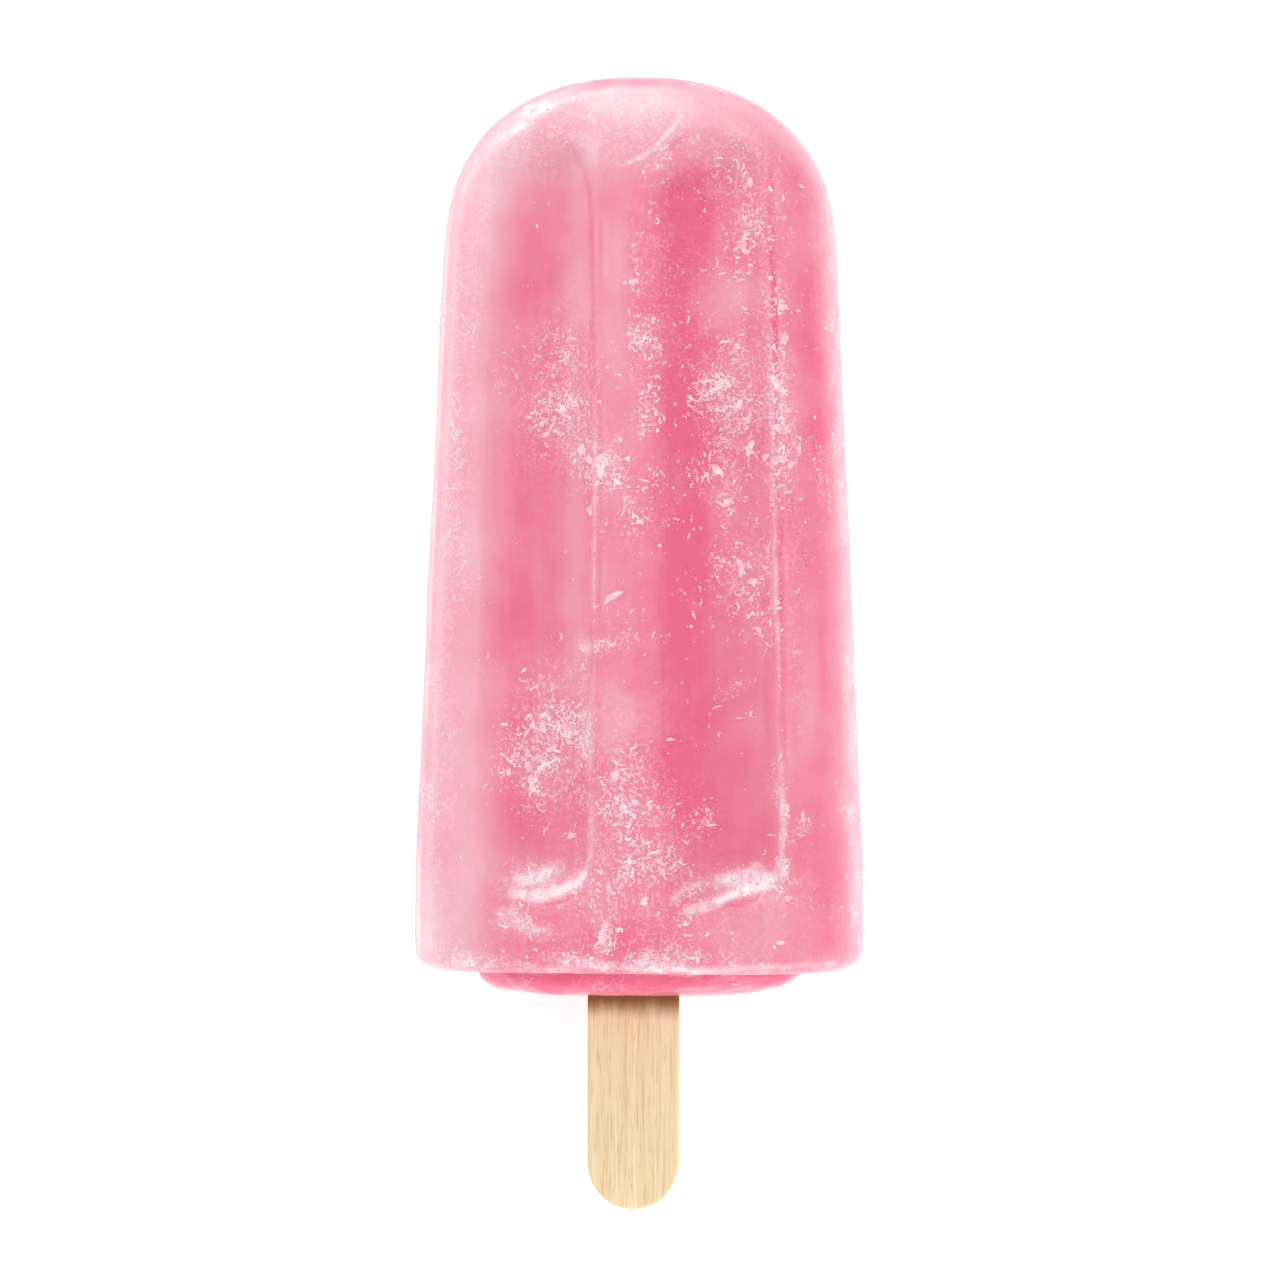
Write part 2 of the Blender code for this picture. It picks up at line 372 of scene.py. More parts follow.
def stroke_field(lines: Sequence[Stroke], mould: Mould, points: Array) -> Array:
    """Sum of each stroke's strength times exp(-(d / wide)^2), d the distance to its line.

    Args:
        lines: The strokes, with their half widths in millimetres.
        mould: The mould, which turns shares into millimetres.
        points: Places in the mould frame, shape (..., 3).

    Returns:
        Field of shape (...), thinned out by a half sine at both ends of each line.
    """
    flat = points[..., :2]
    total = np.zeros(points.shape[:-1])
    for stroke in lines:
        shares = np.array(stroke.places)
        y = shares[:, 1] * mould.length
        line = rounded_line(np.stack([shares[:, 0] * mould.half_width(y), y], axis=-1))
        steps = np.diff(line, axis=0)
        lengths = np.linalg.norm(steps, axis=1)
        run = np.concatenate([[0.0], np.cumsum(lengths)]) / lengths.sum()
        nearest, place = np.full(total.shape, np.inf), np.zeros(total.shape)
        for start, step, length, begin, end in zip(line, steps, lengths, run, run[1:]):
            t = np.clip(((flat - start) @ step) / length**2, 0.0, 1.0)
            gap = np.linalg.norm(flat - start - t[..., None] * step, axis=-1)
            place = np.where(gap < nearest, begin + t * (end - begin), place)
            nearest = np.minimum(gap, nearest)
        taper = np.maximum(np.sin(np.pi * place), 0.0) ** 0.6
        total += stroke.strength * taper * bell(nearest, 0.0, stroke.wide)
    return total


# The rows below follow patches() and strokes(). Clumps of loose frost on the front, from the tip down.
FRONT_CLUMPS = patches(
    (0.30, 0.935, 0.04, 0.012, 0.8), (0.21, 0.915, 0.05, 0.012, 0.7), (0.13, 0.895, 0.04, 0.012, 0.7),
    (0.58, 0.85, 0.17, 0.05, 0.55), (0.60, 0.77, 0.13, 0.05, 0.55), (0.05, 0.78, 0.05, 0.07, 0.35),
    (-0.76, 0.72, 0.04, 0.02, 0.6), (-0.33, 0.675, 0.16, 0.045, 0.6), (-0.34, 0.60, 0.17, 0.035, 0.9),
    (0.05, 0.69, 0.07, 0.045, 0.55), (0.05, 0.62, 0.07, 0.02, 0.9), (0.50, 0.66, 0.22, 0.055, 0.6),
    (0.46, 0.62, 0.15, 0.025, 0.9), (0.70, 0.64, 0.05, 0.09, 0.8), (0.76, 0.59, 0.06, 0.02, 0.9),
    (-0.87, 0.60, 0.05, 0.03, 0.9), (-0.85, 0.50, 0.05, 0.06, 0.35), (-0.13, 0.555, 0.12, 0.022, 0.9),
    (0.00, 0.51, 0.16, 0.04, 0.45), (0.42, 0.55, 0.20, 0.04, 0.5), (0.90, 0.55, 0.05, 0.05, 0.4),
    (0.55, 0.46, 0.17, 0.04, 0.5), (0.42, 0.43, 0.09, 0.03, 0.9), (0.58, 0.39, 0.08, 0.03, 0.7),
    (-0.12, 0.365, 0.08, 0.012, 1.1), (0.00, 0.40, 0.12, 0.04, 0.35), (0.47, 0.31, 0.06, 0.008, 0.8),
    (-0.23, 0.27, 0.03, 0.045, 1.3), (-0.38, 0.28, 0.15, 0.045, 0.9), (-0.40, 0.215, 0.13, 0.035, 0.8),
    (-0.02, 0.20, 0.15, 0.04, 0.8), (0.04, 0.14, 0.15, 0.04, 0.8), (-0.10, 0.09, 0.10, 0.03, 0.6),
    (0.30, 0.175, 0.03, 0.02, 0.9), (0.66, 0.155, 0.025, 0.06, 1.2), (0.74, 0.165, 0.035, 0.012, 0.9),
    (0.93, 0.19, 0.03, 0.015, 1.1), (-0.95, 0.19, 0.03, 0.03, 0.9), (-0.52, 0.065, 0.05, 0.015, 1.2),
    (-0.46, 0.050, 0.08, 0.010, 1.2), (-0.14, 0.042, 0.03, 0.022, 1.1), (0.25, 0.075, 0.14, 0.02, 0.7),
    (0.22, 0.020, 0.30, 0.012, 0.8), (-0.20, 0.015, 0.35, 0.010, 0.6), (-0.85, 0.02, 0.10, 0.02, 0.5),
    (-0.10, -0.020, 0.14, 0.012, 0.8), (0.38, -0.014, 0.10, 0.010, 0.7),
    (-0.50, -0.012, 0.08, 0.010, 0.7),
)
# Sandy bloom: fine crystals that stay in the skin. The patches on the head's upper-left rim and over the
# flutes' lower ends also paint a stippled highlight.
FRONT_SAND_AND_GLINTS = patches(
    (-0.05, 0.94, 0.38, 0.040, 1.2), (-0.60, 0.94, 0.25, 0.05, 1.0), (0.55, 0.90, 0.30, 0.06, 0.7),
    (0.15, 0.80, 0.15, 0.10, 0.6), (-0.84, 0.72, 0.08, 0.20, 0.9), (-0.86, 0.45, 0.07, 0.15, 0.8),
    (-0.88, 0.18, 0.08, 0.15, 0.8), (0.50, 0.66, 0.26, 0.12, 0.7), (-0.40, 0.64, 0.22, 0.09, 0.6),
    (0.00, 0.18, 0.25, 0.12, 0.8), (-0.40, 0.25, 0.22, 0.09, 0.6), (-0.38, 0.095, 0.24, 0.025, 1.0),
    (0.42, 0.095, 0.30, 0.025, 1.0), (0.10, 0.03, 0.60, 0.03, 0.8), (0.74, 0.40, 0.05, 0.25, 0.5),
)
# Clouds: smooth pale ice under the surface.
FRONT_CLOUDS = patches(
    (0.42, 0.742, 0.14, 0.032, 0.42, 1.6), (0.56, 0.752, 0.12, 0.026, 0.36, 1.8),
    (-0.10, 0.285, 0.10, 0.045, 0.50, 2.5), (-0.02, 0.60, 0.09, 0.04, 0.25),
    (-0.08, 0.53, 0.10, 0.022, 0.25, 2.0), (-0.74, 0.86, 0.16, 0.07, 0.42),
    (0.80, 0.28, 0.08, 0.12, 0.35), (-0.26, 0.78, 0.08, 0.10, 0.35), (0.78, 0.62, 0.08, 0.10, 0.3),
    (-0.93, 0.05, 0.18, 0.06, 0.55), (0.72, 0.05, 0.25, 0.05, 0.30), (-0.24, 0.45, 0.06, 0.10, 0.20),
    (0.00, 0.93, 0.4, 0.05, 0.30), (-0.60, 0.12, 0.20, 0.035, 0.25), (-0.45, 0.905, 0.20, 0.03, 0.22),
    (0.80, 0.82, 0.12, 0.06, 0.30), (-0.30, 0.34, 0.06, 0.06, 0.15), (-0.30, 0.72, 0.07, 0.22, 0.20),
    (-0.27, 0.42, 0.06, 0.16, 0.14), (-0.32, 0.966, 0.45, 0.022, 0.62), (0.25, 0.960, 0.25, 0.016, 0.48),
    (-0.08, 0.76, 0.09, 0.10, 0.62), (0.70, 0.93, 0.15, 0.03, 0.18), (-0.30, 0.905, 0.09, 0.025, 0.30),
    (-0.04, 0.66, 0.08, 0.05, 0.12), (0.02, 0.30, 0.08, 0.04, 0.15),
)
# The one smooth pale place that has kept no frost.
SMOOTH_PATCH = Patch(0.48, 0.747, 0.19, 0.032, 1.0, 2.0)
# Deep places, where the colour is strong: mostly painted shade on the flutes' left walls and top ends and
# along the right edge, with clear ice low on the bar.
FRONT_DEEPS_AND_SHADE = patches(
    (0.17, 0.42, 0.08, 0.34, 0.22), (0.26, 0.55, 0.09, 0.38, 0.35), (-0.56, 0.38, 0.08, 0.12, 0.15),
    (0.92, 0.60, 0.06, 0.10, 0.25), (0.28, 0.86, 0.14, 0.03, 0.3), (-0.50, 0.16, 0.14, 0.04, 0.25),
    (-0.15, 0.03, 0.35, 0.03, 0.25), (-0.42, 0.885, 0.13, 0.020, 0.10), (0.52, 0.880, 0.18, 0.018, 0.30),
)
# Packed white frost, and painted highlights: the white spot on the head's upper left and bands on the flutes'
# lower walls.
FRONT_SNOW_AND_HIGHLIGHTS = patches(
    (-0.74, 0.9535, 0.105, 0.0075, 1.5, 3.0), (-0.42, 0.101, 0.20, 0.016, 0.30),
    (0.47, 0.100, 0.20, 0.017, 0.28), (-0.23, 0.265, 0.030, 0.030, 0.25), (0.30, 0.004, 0.26, 0.004, 0.6),
    (-0.25, 0.003, 0.20, 0.004, 0.4), (-0.22, 0.360, 0.05, 0.010, 0.4),
    (-0.53, 0.064, 0.045, 0.012, 0.35), (-0.44, 0.050, 0.07, 0.008, 0.45),
    (0.75, 0.985, 0.10, 0.006, 0.5), (-0.135, 0.045, 0.020, 0.018, 0.2),
)
# Packed frost and painted highlight lines: along the arrises, round the flutes' lower ends, over the head's
# rim and along the shoulder.
SNOW_AND_HIGHLIGHT_LINES = strokes(
    (0.48, 1.15, (-0.56, 0.090), (-0.42, 0.083), (-0.26, 0.096), (-0.20, 0.114)),
    (0.34, 0.32, (-0.24, 0.100), (-0.19, 0.120), (-0.18, 0.160), (-0.18, 0.200)),
    (0.62, 1.10, (-0.52, 0.100), (-0.41, 0.107), (-0.30, 0.120)),
    (0.42, 0.90, (-0.47, 0.083), (-0.40, 0.081), (-0.33, 0.088)),
    (0.46, 1.00, (0.22, 0.068), (0.34, 0.076), (0.50, 0.092), (0.63, 0.110), (0.665, 0.130)),
    (0.58, 1.00, (0.42, 0.084), (0.54, 0.098), (0.62, 0.110)),
    (0.60, 0.95, (0.36, 0.102), (0.47, 0.105), (0.58, 0.118)),
    (0.40, 0.50, (0.20, 0.072), (0.19, 0.084), (0.24, 0.096), (0.32, 0.100)),
    (0.50, 0.25, (-0.190, 0.215), (-0.210, 0.250), (-0.230, 0.290)),
    (0.34, 0.42, (0.665, 0.115), (0.675, 0.170), (0.672, 0.250)),
    (0.20, 0.55, (0.34, 0.950), (0.24, 0.935), (0.12, 0.912), (0.02, 0.898), (-0.08, 0.892)),
    (0.35, 0.25, (-0.92, 0.860), (-0.84, 0.925), (-0.62, 0.968), (-0.30, 0.980), (0.10, 0.980),
        (0.50, 0.975)),
    (0.25, 0.30, (0.67, 0.300), (0.665, 0.420), (0.66, 0.520), (0.66, 0.620)),
    (0.30, 0.25, (-0.19, 0.640), (-0.185, 0.500), (-0.185, 0.380)),
    (0.30, 0.45, (-0.40, 0.018), (0.00, 0.006), (0.45, 0.007), (0.90, 0.012)),
)
# Painted shade: thin dark lines in the creases where two slopes meet.
SHADE_LINES = strokes(
    (0.28, 0.17, (-0.50, 0.926), (-0.36, 0.912), (-0.27, 0.888), (-0.215, 0.850), (-0.205, 0.750),
        (-0.205, 0.640)),
    (0.25, 0.13, (-0.204, 0.640), (-0.196, 0.560), (-0.196, 0.400), (-0.190, 0.300)),
    (0.28, 0.18, (0.70, 0.880), (0.69, 0.800), (0.69, 0.700), (0.69, 0.600)),
    (0.22, 0.12, (0.69, 0.560), (0.69, 0.400), (0.69, 0.280)),
    (0.45, 0.12, (0.34, 0.935), (0.26, 0.920), (0.18, 0.905)),
)


def scattered_patches(count: int, seed: int, wide: float, tall: float) -> tuple[Patch, ...]:
    """Seeded patches all over the back, from half to one and a half times as wide and tall as given."""
    rng = np.random.default_rng(seed)
    rows = zip(
        rng.uniform(-0.95, 0.95, count), rng.uniform(0.02, 0.95, count), rng.uniform(0.5, 1.5, count),
        rng.uniform(0.5, 1.5, count), rng.uniform(0.5, 1.1, count),
    )
    return tuple(Patch(x, y, wide * grow, tall * stretch, power) for x, y, grow, stretch, power in rows)


BACK_CLUMPS = scattered_patches(22, Draw.BACK_CLUMPS, 0.09, 0.035)
BACK_SAND = scattered_patches(12, Draw.BACK_SAND, 0.22, 0.08)
BACK_CLOUDS = scattered_patches(9, Draw.BACK_CLOUDS, 0.14, 0.06)
BACK_DEEPS = scattered_patches(5, Draw.BACK_DEEPS, 0.12, 0.15)
BACK_SNOW = scattered_patches(6, Draw.BACK_SNOW, 0.06, 0.010)
FACE_PATCHES = (
    (FRONT_CLUMPS, BACK_CLUMPS), (FRONT_SAND_AND_GLINTS, BACK_SAND), (FRONT_CLOUDS, BACK_CLOUDS),
    (FRONT_DEEPS_AND_SHADE, BACK_DEEPS), (FRONT_SNOW_AND_HIGHLIGHTS, BACK_SNOW),
)


@dataclass
class Surface:
    """A closed skin over a grid of points: rings along the piece, points around each ring."""

    points: Array
    poles: tuple[Array, Array]
    normals: Array = field(init=False)

    def __post_init__(self) -> None:
        """Work out the normals once."""
        self.normals = self.grid_normals()

    def grid_normals(self) -> Array:
        """Unit normal at each point: the cross product of the steps around and along, pointing outwards."""
        around = np.roll(self.points, -1, axis=1) - np.roll(self.points, 1, axis=1)
        along = np.gradient(self.points, axis=0)
        normal = np.cross(around, along)
        length = np.linalg.norm(normal, axis=-1, keepdims=True)
        return normal / np.maximum(length, 1e-9)

    def at(self, ring: Array, place: Array) -> tuple[Array, Array]:
        """Points and normals at fractional grid places, as the mix of the four nearest ones.

        Args:
            ring: Fractional ring numbers.
            place: Fractional places around the ring, which wrap.

        Returns:
            Points and unit normals, with one more axis than ring.
        """
        rings, count = self.points.shape[:2]
        ring = np.clip(ring, 0.0, rings - 1.001)
        r0, p0 = np.floor(ring).astype(int), np.floor(place).astype(int)
        s, t = (ring - r0)[..., None], (place - p0)[..., None]
        p0, p1, r1 = p0 % count, (p0 + 1) % count, r0 + 1

        def mix(values: Array) -> Array:
            """Weighted mean of the four corners' values."""
            return (1 - s) * ((1 - t) * values[r0, p0] + t * values[r0, p1]) + s * (
                (1 - t) * values[r1, p0] + t * values[r1, p1]
            )

        normal = mix(self.normals)
        return mix(self.points), normal / np.maximum(np.linalg.norm(normal, axis=-1, keepdims=True), 1e-9)

    def spacing(self) -> tuple[Array, Array]:
        """Distance to the next ring and to the next point around, at each grid point."""
        along = np.linalg.norm(np.gradient(self.points, axis=0), axis=-1)
        around = np.linalg.norm(np.roll(self.points, -1, axis=1) - self.points, axis=-1)
        return np.maximum(along, 0.02), np.maximum(around, 0.02)

    def faces(self) -> list[tuple[int, ...]]:
        """Quads between the rings and a fan of triangles at each pole."""
        rings, count = self.points.shape[:2]
        ids = np.arange(rings * count).reshape(rings, count)
        after = np.roll(ids, -1, axis=1)
        quads = np.stack([ids[:-1], after[:-1], after[1:], ids[1:]], axis=-1).reshape(-1, 4)
        first, last = rings * count, rings * count + 1
        head = np.stack([np.full(count, first), after[0], ids[0]], axis=-1)
        foot = np.stack([np.full(count, last), ids[-1], after[-1]], axis=-1)
        return quads.tolist() + head.tolist() + foot.tolist()


def stacked(x: Array, y: Array, z: Array) -> Array:
    """Points from x and z of one shape and a y that is the same all round each ring."""
    return np.stack([x, np.broadcast_to(y, x.shape), z], axis=-1)


def link(thing: bpy.types.Object) -> None:
    """Put an object into the scene."""
    bpy.context.scene.collection.objects.link(thing)


def make_piece(
    name: str, mould: Mould, points: Array, faces: list, material: bpy.types.Material, smooth: bool = True
) -> bpy.types.Object:
    """Write points and faces as a mesh object at the origin, and ride it on the pop.

    Args:
        name: Name of the piece.
        mould: The mould, which lays the points down.
        points: Points in the mould frame, shape (n, 3), in millimetres.
        faces: Faces as tuples of point numbers.
        material: Finish of the piece.
        smooth: Whether it is shaded smooth, or in facets as a crystal is.

    Returns:
        The new object.
    """
    mesh = bpy.data.meshes.new(name)
    mesh.from_pydata((mould.lay_down(points) * MM).tolist(), [], faces)
    mesh.polygons.foreach_set("use_smooth", np.full(len(mesh.polygons), smooth))
    mesh.materials.append(material)
    mesh.update()
    piece = bpy.data.objects.new(name, mesh)
    link(piece)
    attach(piece, BODY)
    log.info("%s: %d points, %d faces", name, len(points), len(faces))
    return piece


def add_attribute(piece: bpy.types.Object, name: str, values: Array) -> None:
    """Store one number for each point of the piece."""
    attribute = piece.data.attributes.new(name, "FLOAT", "POINT")
    attribute.data.foreach_set("value", values.astype(np.float32))


@dataclass(frozen=True)
class VeilAndLightTones:
    """What each feature adds to the veil, or takes from it, as a share of pale cloud over the clear ice.
    Many of them are painted highlights and painted shade: the lit side, the rims, the flutes' left walls.

    A pair that ends in _at holds a bell's centre and width, or the start and the end of a smooth step.
    """

    rib: float = 0.145
    # The flutes' clear ice, deepened by painted shade on their left walls and more on the right flute.
    flute: float = 0.060
    flute_shade_by_width: float = 0.05
    flute_at: tuple[float, float] = (-0.45, 0.68)
    middle: float = 0.04
    middle_at: tuple[float, float] = (0.0, 0.18)
    # Painted light on the side of the bar that faces the lamp, and painted shade on the other side.
    painted_lit_side: float = 0.22
    painted_lit_side_at: tuple[float, float] = (0.54, 0.76)
    painted_shade_side: float = 0.08
    painted_shade_side_at: tuple[float, float] = (0.55, 0.92)
    tip: float = 0.19
    tip_at: tuple[float, float] = (82.0, 95.0)
    upper_left_at: tuple[float, float] = (-0.1, 0.7)
    # Painted highlight: a light line along the head's upper-left rim, less on its top.
    head_rim_highlight: float = 0.11
    head_rim_highlight_on_top: float = 0.10
    head_rim_highlight_at: tuple[float, float] = (0.62, 0.08)
    # Painted shade: the rim's steep outer band, darker on the upper left and most on top.
    rim_shade: float = 0.08
    rim_shade_on_top: float = 0.31
    rim_shade_at: tuple[float, float] = (0.28, 0.22)
    # Painted highlight: a thin broken light line just inside the left edge.
    edge_highlight: float = 0.34
    edge_highlight_at: tuple[float, float] = (-0.966, 0.012)
    edge_highlight_top_at: tuple[float, float] = (86.0, 76.0)
    side: float = 0.02
    cloud: float = 0.35
    deep: float = 0.28
    lip: float = 0.16
    drift: float = 0.04
    # Whitening by packed frost and painted highlights.
    snow_and_highlight: float = 0.92
    stipple: float = 0.82
    stipple_coarse: float = 0.40
    stipple_fine: float = 0.55


@dataclass(frozen=True)
class ReliefHeights:
    """Heights of the skin's unevenness, in millimetres."""

    waves: float = 0.10
    lumps: float = 0.035
    rough: float = 0.09
    crust: float = 0.17
    ridge: float = 0.05
    groove: float = 0.11
    lip: float = 0.42
    lip_fine: float = 0.10
    snow_and_highlight: float = 0.03
    snow_lumps: float = 0.09


@dataclass
class IceSkin:
    """The frozen bar's visible skin, from the tip to the slot that the stick is frozen into."""

    mould: Mould
    flutes: Flutes
    tones: VeilAndLightTones = VeilAndLightTones()
    heights: ReliefHeights = ReliefHeights()
    around: int = 304
    bar_rings: int = 258
    round_rings: int = 10
    ledge_rings: int = 10
    lip_rings: int = 26
    section_points: int = 420
    outline_points: int = 4000
    shoulder_round: tuple[float, float, float] = (2.7, 2.2, 1.4)
    ledge_bulge: float = 0.25
    lip_half_width: float = 17.8
    lip_half_thickness: float = 8.0
    lip_height: float = 3.0
    lip_power: float = 2.4
    stick_half_thickness: float = 1.0
    mouth_gap: float = 0.06
    slot_gap: float = 0.3
    slot_corner_power: float = 0.2
    slot_steps: tuple[float, float] = (0.5, 1.5)
    slot_spare: float = 0.5
    still_rings: int = 4
    fading_rings: int = 10
    surface: Surface = field(init=False)
    fields: dict[str, Array] = field(init=False)

    def __post_init__(self) -> None:
        """Work out the smooth skin, the fields on it and then its relief."""
        self.surface = Surface(self.ring_points(), self.pole_points())
        self.fields = self.surface_fields()
        self.raise_relief()

    def stations(self) -> Array:
        """Places of the bar's rings along Y, at even steps over the crown and down the drafted sides.

        A step's length is the root of dy^2 + dw^2 / 2 + dt^2 / 2, with w and t the half width and thickness.
        """
        shown = self.mould.length - self.shoulder_round[1]
        fine = self.mould.length - shown * np.linspace(0.0, 1.0, 6001) ** 2
        steps = np.diff(fine) ** 2 + np.diff(self.mould.half_width(fine)) ** 2 / 2
        steps = np.sqrt(steps + np.diff(self.mould.half_thickness(fine)) ** 2 / 2)
        run = np.concatenate([[0.0], np.cumsum(steps)])
        return np.interp(np.linspace(0.0, run[-1], self.bar_rings + 1)[1:], run, fine)

    def even_rings(self, x: Array, z: Array, front_weight: float = 1.25) -> tuple[Array, Array]:
        """Resample closed rings at even steps of their length, closer together on the front.

        Every ring's running length is scaled to 0..1 and raised by its ring number, so that one
        interpolation over the joined rings serves them all.
        """
        rings = x.shape[0]
        x, z = (np.concatenate([v, v[:, :1]], axis=1) for v in (x, z))
        weight = 1.0 + (front_weight - 1.0) * (z[:, 1:] + z[:, :-1] > 0.0)
        run = np.cumsum(np.hypot(np.diff(x, axis=1), np.diff(z, axis=1)) * weight, axis=1)
        run = np.concatenate([np.zeros((rings, 1)), run], axis=1)
        just_under_one = 0.999999
        run = run / run[:, -1:] * just_under_one + np.arange(rings)[:, None]
        wanted = np.arange(self.around) / self.around * just_under_one + np.arange(rings)[:, None]
        return tuple(np.interp(wanted.ravel(), run.ravel(), v.ravel()).reshape(rings, -1) for v in (x, z))

    def outline(self, power: float, half_x: float, half_z: float) -> tuple[Array, Array]:
        """Even ring of the closed curve x = a cos^power, z = b sin^power, the signs kept."""
        angle = np.linspace(0.0, 2.0 * np.pi, self.outline_points, endpoint=False)
        curves = ((np.cos(angle), half_x), (np.sin(angle), half_z))
        x, z = (np.sign(curve) * np.abs(curve) ** power * half for curve, half in curves)
        return tuple(ring[0] for ring in self.even_rings(x[None], z[None]))

    def stick_outline(self, gap: float) -> Array:
        """Outline of the slot round the stick's section, a rectangle with rounded corners."""
        low, high = (np.array(corner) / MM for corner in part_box("stick"))
        half_wide = (high[0] - low[0]) / 2.0 + gap
        x, z = self.outline(self.slot_corner_power, half_wide, self.stick_half_thickness + gap)
        return np.stack([x + (low[0] + high[0]) / 2.0, z], axis=-1)

    def ring_points(self) -> Array:
        """All rings in order: bar, shoulder's round, ledge, lip and the slot's wall."""
        unit = self.mould.section(self.section_points)
        y = self.stations()[:, None]
        x = unit[None, :, 0] * self.mould.half_width(y)
        z = unit[None, :, 1] * self.mould.half_thickness(y)
        x, z = self.even_rings(x, self.flutes.carve(x, y, z))
        bar = stacked(x, y, z)

        inset_x, height, inset_z = self.shoulder_round
        turn = np.linspace(0.0, np.pi / 2.0, self.round_rings + 1)[1:, None]
        y = height * (1.0 - np.sin(turn))
        wide = self.mould.half_width(y) - inset_x * (1.0 - np.cos(turn))
        thick = self.mould.half_thickness(y) - inset_z * (1.0 - np.cos(turn))
        x, z = self.even_rings(unit[None, :, 0] * wide, unit[None, :, 1] * thick)
        rounded = stacked(x, y, z)

        power = 2.0 / self.lip_power
        lip_x, lip_z = self.outline(power, self.lip_half_width, self.lip_half_thickness)
        lip = np.stack([lip_x, np.zeros_like(lip_x), lip_z], axis=-1)
        t = np.linspace(0.0, 1.0, self.ledge_rings + 1)[1:-1, None, None]
        ledge = rounded[-1] * (1.0 - t) + lip * t
        ledge[..., 1] += self.ledge_bulge * np.sin(np.pi * t[..., 0])

        mouth = self.stick_outline(self.mouth_gap)
        turn = np.linspace(0.0, np.pi / 2.0, self.lip_rings)[:, None]
        size = np.cos(turn) ** power
        x = mouth[None, :, 0] * (1.0 - size) + lip_x[None] * size
        z = mouth[None, :, 1] * (1.0 - size) + lip_z[None] * size
        dome = stacked(x, -self.lip_height * np.sin(turn) ** power, z)

        slot = self.stick_outline(self.slot_gap)
        end = self.slot_end()
        widened, straight = (step - self.lip_height for step in self.slot_steps)
        depths = np.array([widened, straight, end / 2.0, end])
        outlines = np.stack([mouth, slot, slot, slot])
        wall = stacked(outlines[..., 0], depths[:, None], outlines[..., 1])
        return np.concatenate([bar, rounded, ledge, dome, wall])

    def slot_end(self) -> float:
        """How far up the slot reaches, just past the stick's hidden end."""
        low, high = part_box("stick")
        return (high[1] - low[1]) / MM - self.mould.stick_shown + self.slot_spare

    def pole_points(self) -> tuple[Array, Array]:
        """The tip and the middle of the slot's end."""
        low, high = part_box("stick")
        centre = (low[0] + high[0]) / 2.0 / MM
        return np.array([0.0, self.mould.length, 0.0]), np.array([centre, self.slot_end(), 0.0])

    def surface_fields(self) -> dict[str, Array]:
        """Numbers that describe the ice at each point of the skin.

        Returns:
            Fields of the grid's shape: front (1 on the front face, 0 on the back), clump (loose frost), sand
            (fine bloom), the veil (pale cloud over the colour, with painted highlights and painted shade),
            snow (packed white frost, with painted highlight lines and spots) and crust (ragged frost on the
            edges).
        """
        p, n = self.surface.points, self.surface.normals
        x, y = p[..., 0], p[..., 1]
        half = np.maximum(self.mould.half_width(np.clip(y, 0.0, self.mould.length - 1.0)), 1.0)
        across, along = x / half, y / self.mould.length
        front = smooth_step(-0.15, 0.15, n[..., 2])
        ragged = billow(p, 3.2, Draw.RAGGED)
        across = across + 0.060 * billow(p, 4.5, Draw.WARP_ACROSS)
        across = across + 0.020 * lattice_noise(p, 1.1, Draw.WARP_ACROSS_FINE)
        along = along + 0.012 * billow(p, 4.0, Draw.WARP_ALONG)
        along = along + 0.005 * lattice_noise(p, 1.1, Draw.WARP_ALONG_FINE)
        clump, sand, cloud, deep, snow_and_highlight = (
            patch_field(shown, across, along) * front + patch_field(hidden, across, along) * (1.0 - front)
            for shown, hidden in FACE_PATCHES
        )
        bare = 1.0 - 0.85 * patch_field((SMOOTH_PATCH,), across, along) * front
        clump, sand = clump * bare, sand * bare
        side = smooth_step(0.55, 0.95, np.abs(n[..., 0]))
        crust = smooth_step(0.86, 0.99, n[..., 0]) * smooth_step(-0.45, 0.3, ragged)
        crust *= 0.35 + 0.65 * smooth_step(-0.05, 0.2, n[..., 2])
        crust += 0.5 * smooth_step(0.7, 0.98, -n[..., 0]) * smooth_step(0.1, 0.7, ragged)
        shoulder = bell(y, 1.2, 0.8) * smooth_step(0.1, 0.5, n[..., 2])
        crust += 0.75 * shoulder * smooth_step(-0.15, 0.35, ragged)
        clump = clump * (0.35 + 0.65 * smooth_step(-0.5, 0.4, ragged))
        clump += 0.08 * smooth_step(0.15, 0.8, billow(p, 7.0, Draw.THIN_FROST))
        waver = [billow(p, 2.5, seed, 2) for seed in (Draw.WAVER_X, Draw.WAVER_Y, Draw.WAVER_Z)]
        wavy = p + 0.25 * np.stack(waver, axis=-1)
        # Snow: packed frost and painted highlights, lines included; below, it whitens the veil through a
        # stipple.
        snow_and_highlight = snow_and_highlight + stroke_field(SNOW_AND_HIGHLIGHT_LINES, self.mould, wavy) * front
        veil_and_light = self.veil_and_light_field(x / half, front, side, cloud, deep)
        stipple = self.tones.stipple + self.tones.stipple_coarse * lattice_noise(p, 0.8, Draw.STIPPLE)
        stipple += self.tones.stipple_fine * lattice_noise(p, 0.42, Draw.STIPPLE_FINE)
        veil_and_light += self.tones.snow_and_highlight * np.minimum(snow_and_highlight, 1.2) * stipple
        # Painted shade in the creases.
        veil_and_light -= stroke_field(SHADE_LINES, self.mould, wavy) * front
        return {
            "front": front, "crust": crust, "clump": clump * smooth_step(-2.8, -1.8, y),
            "sand": np.clip(sand + 0.35 * side + snow_and_highlight, 0.0, 1.0), "veil_and_light": veil_and_light, "snow_and_highlight": np.minimum(snow_and_highlight, 1.5),
        }

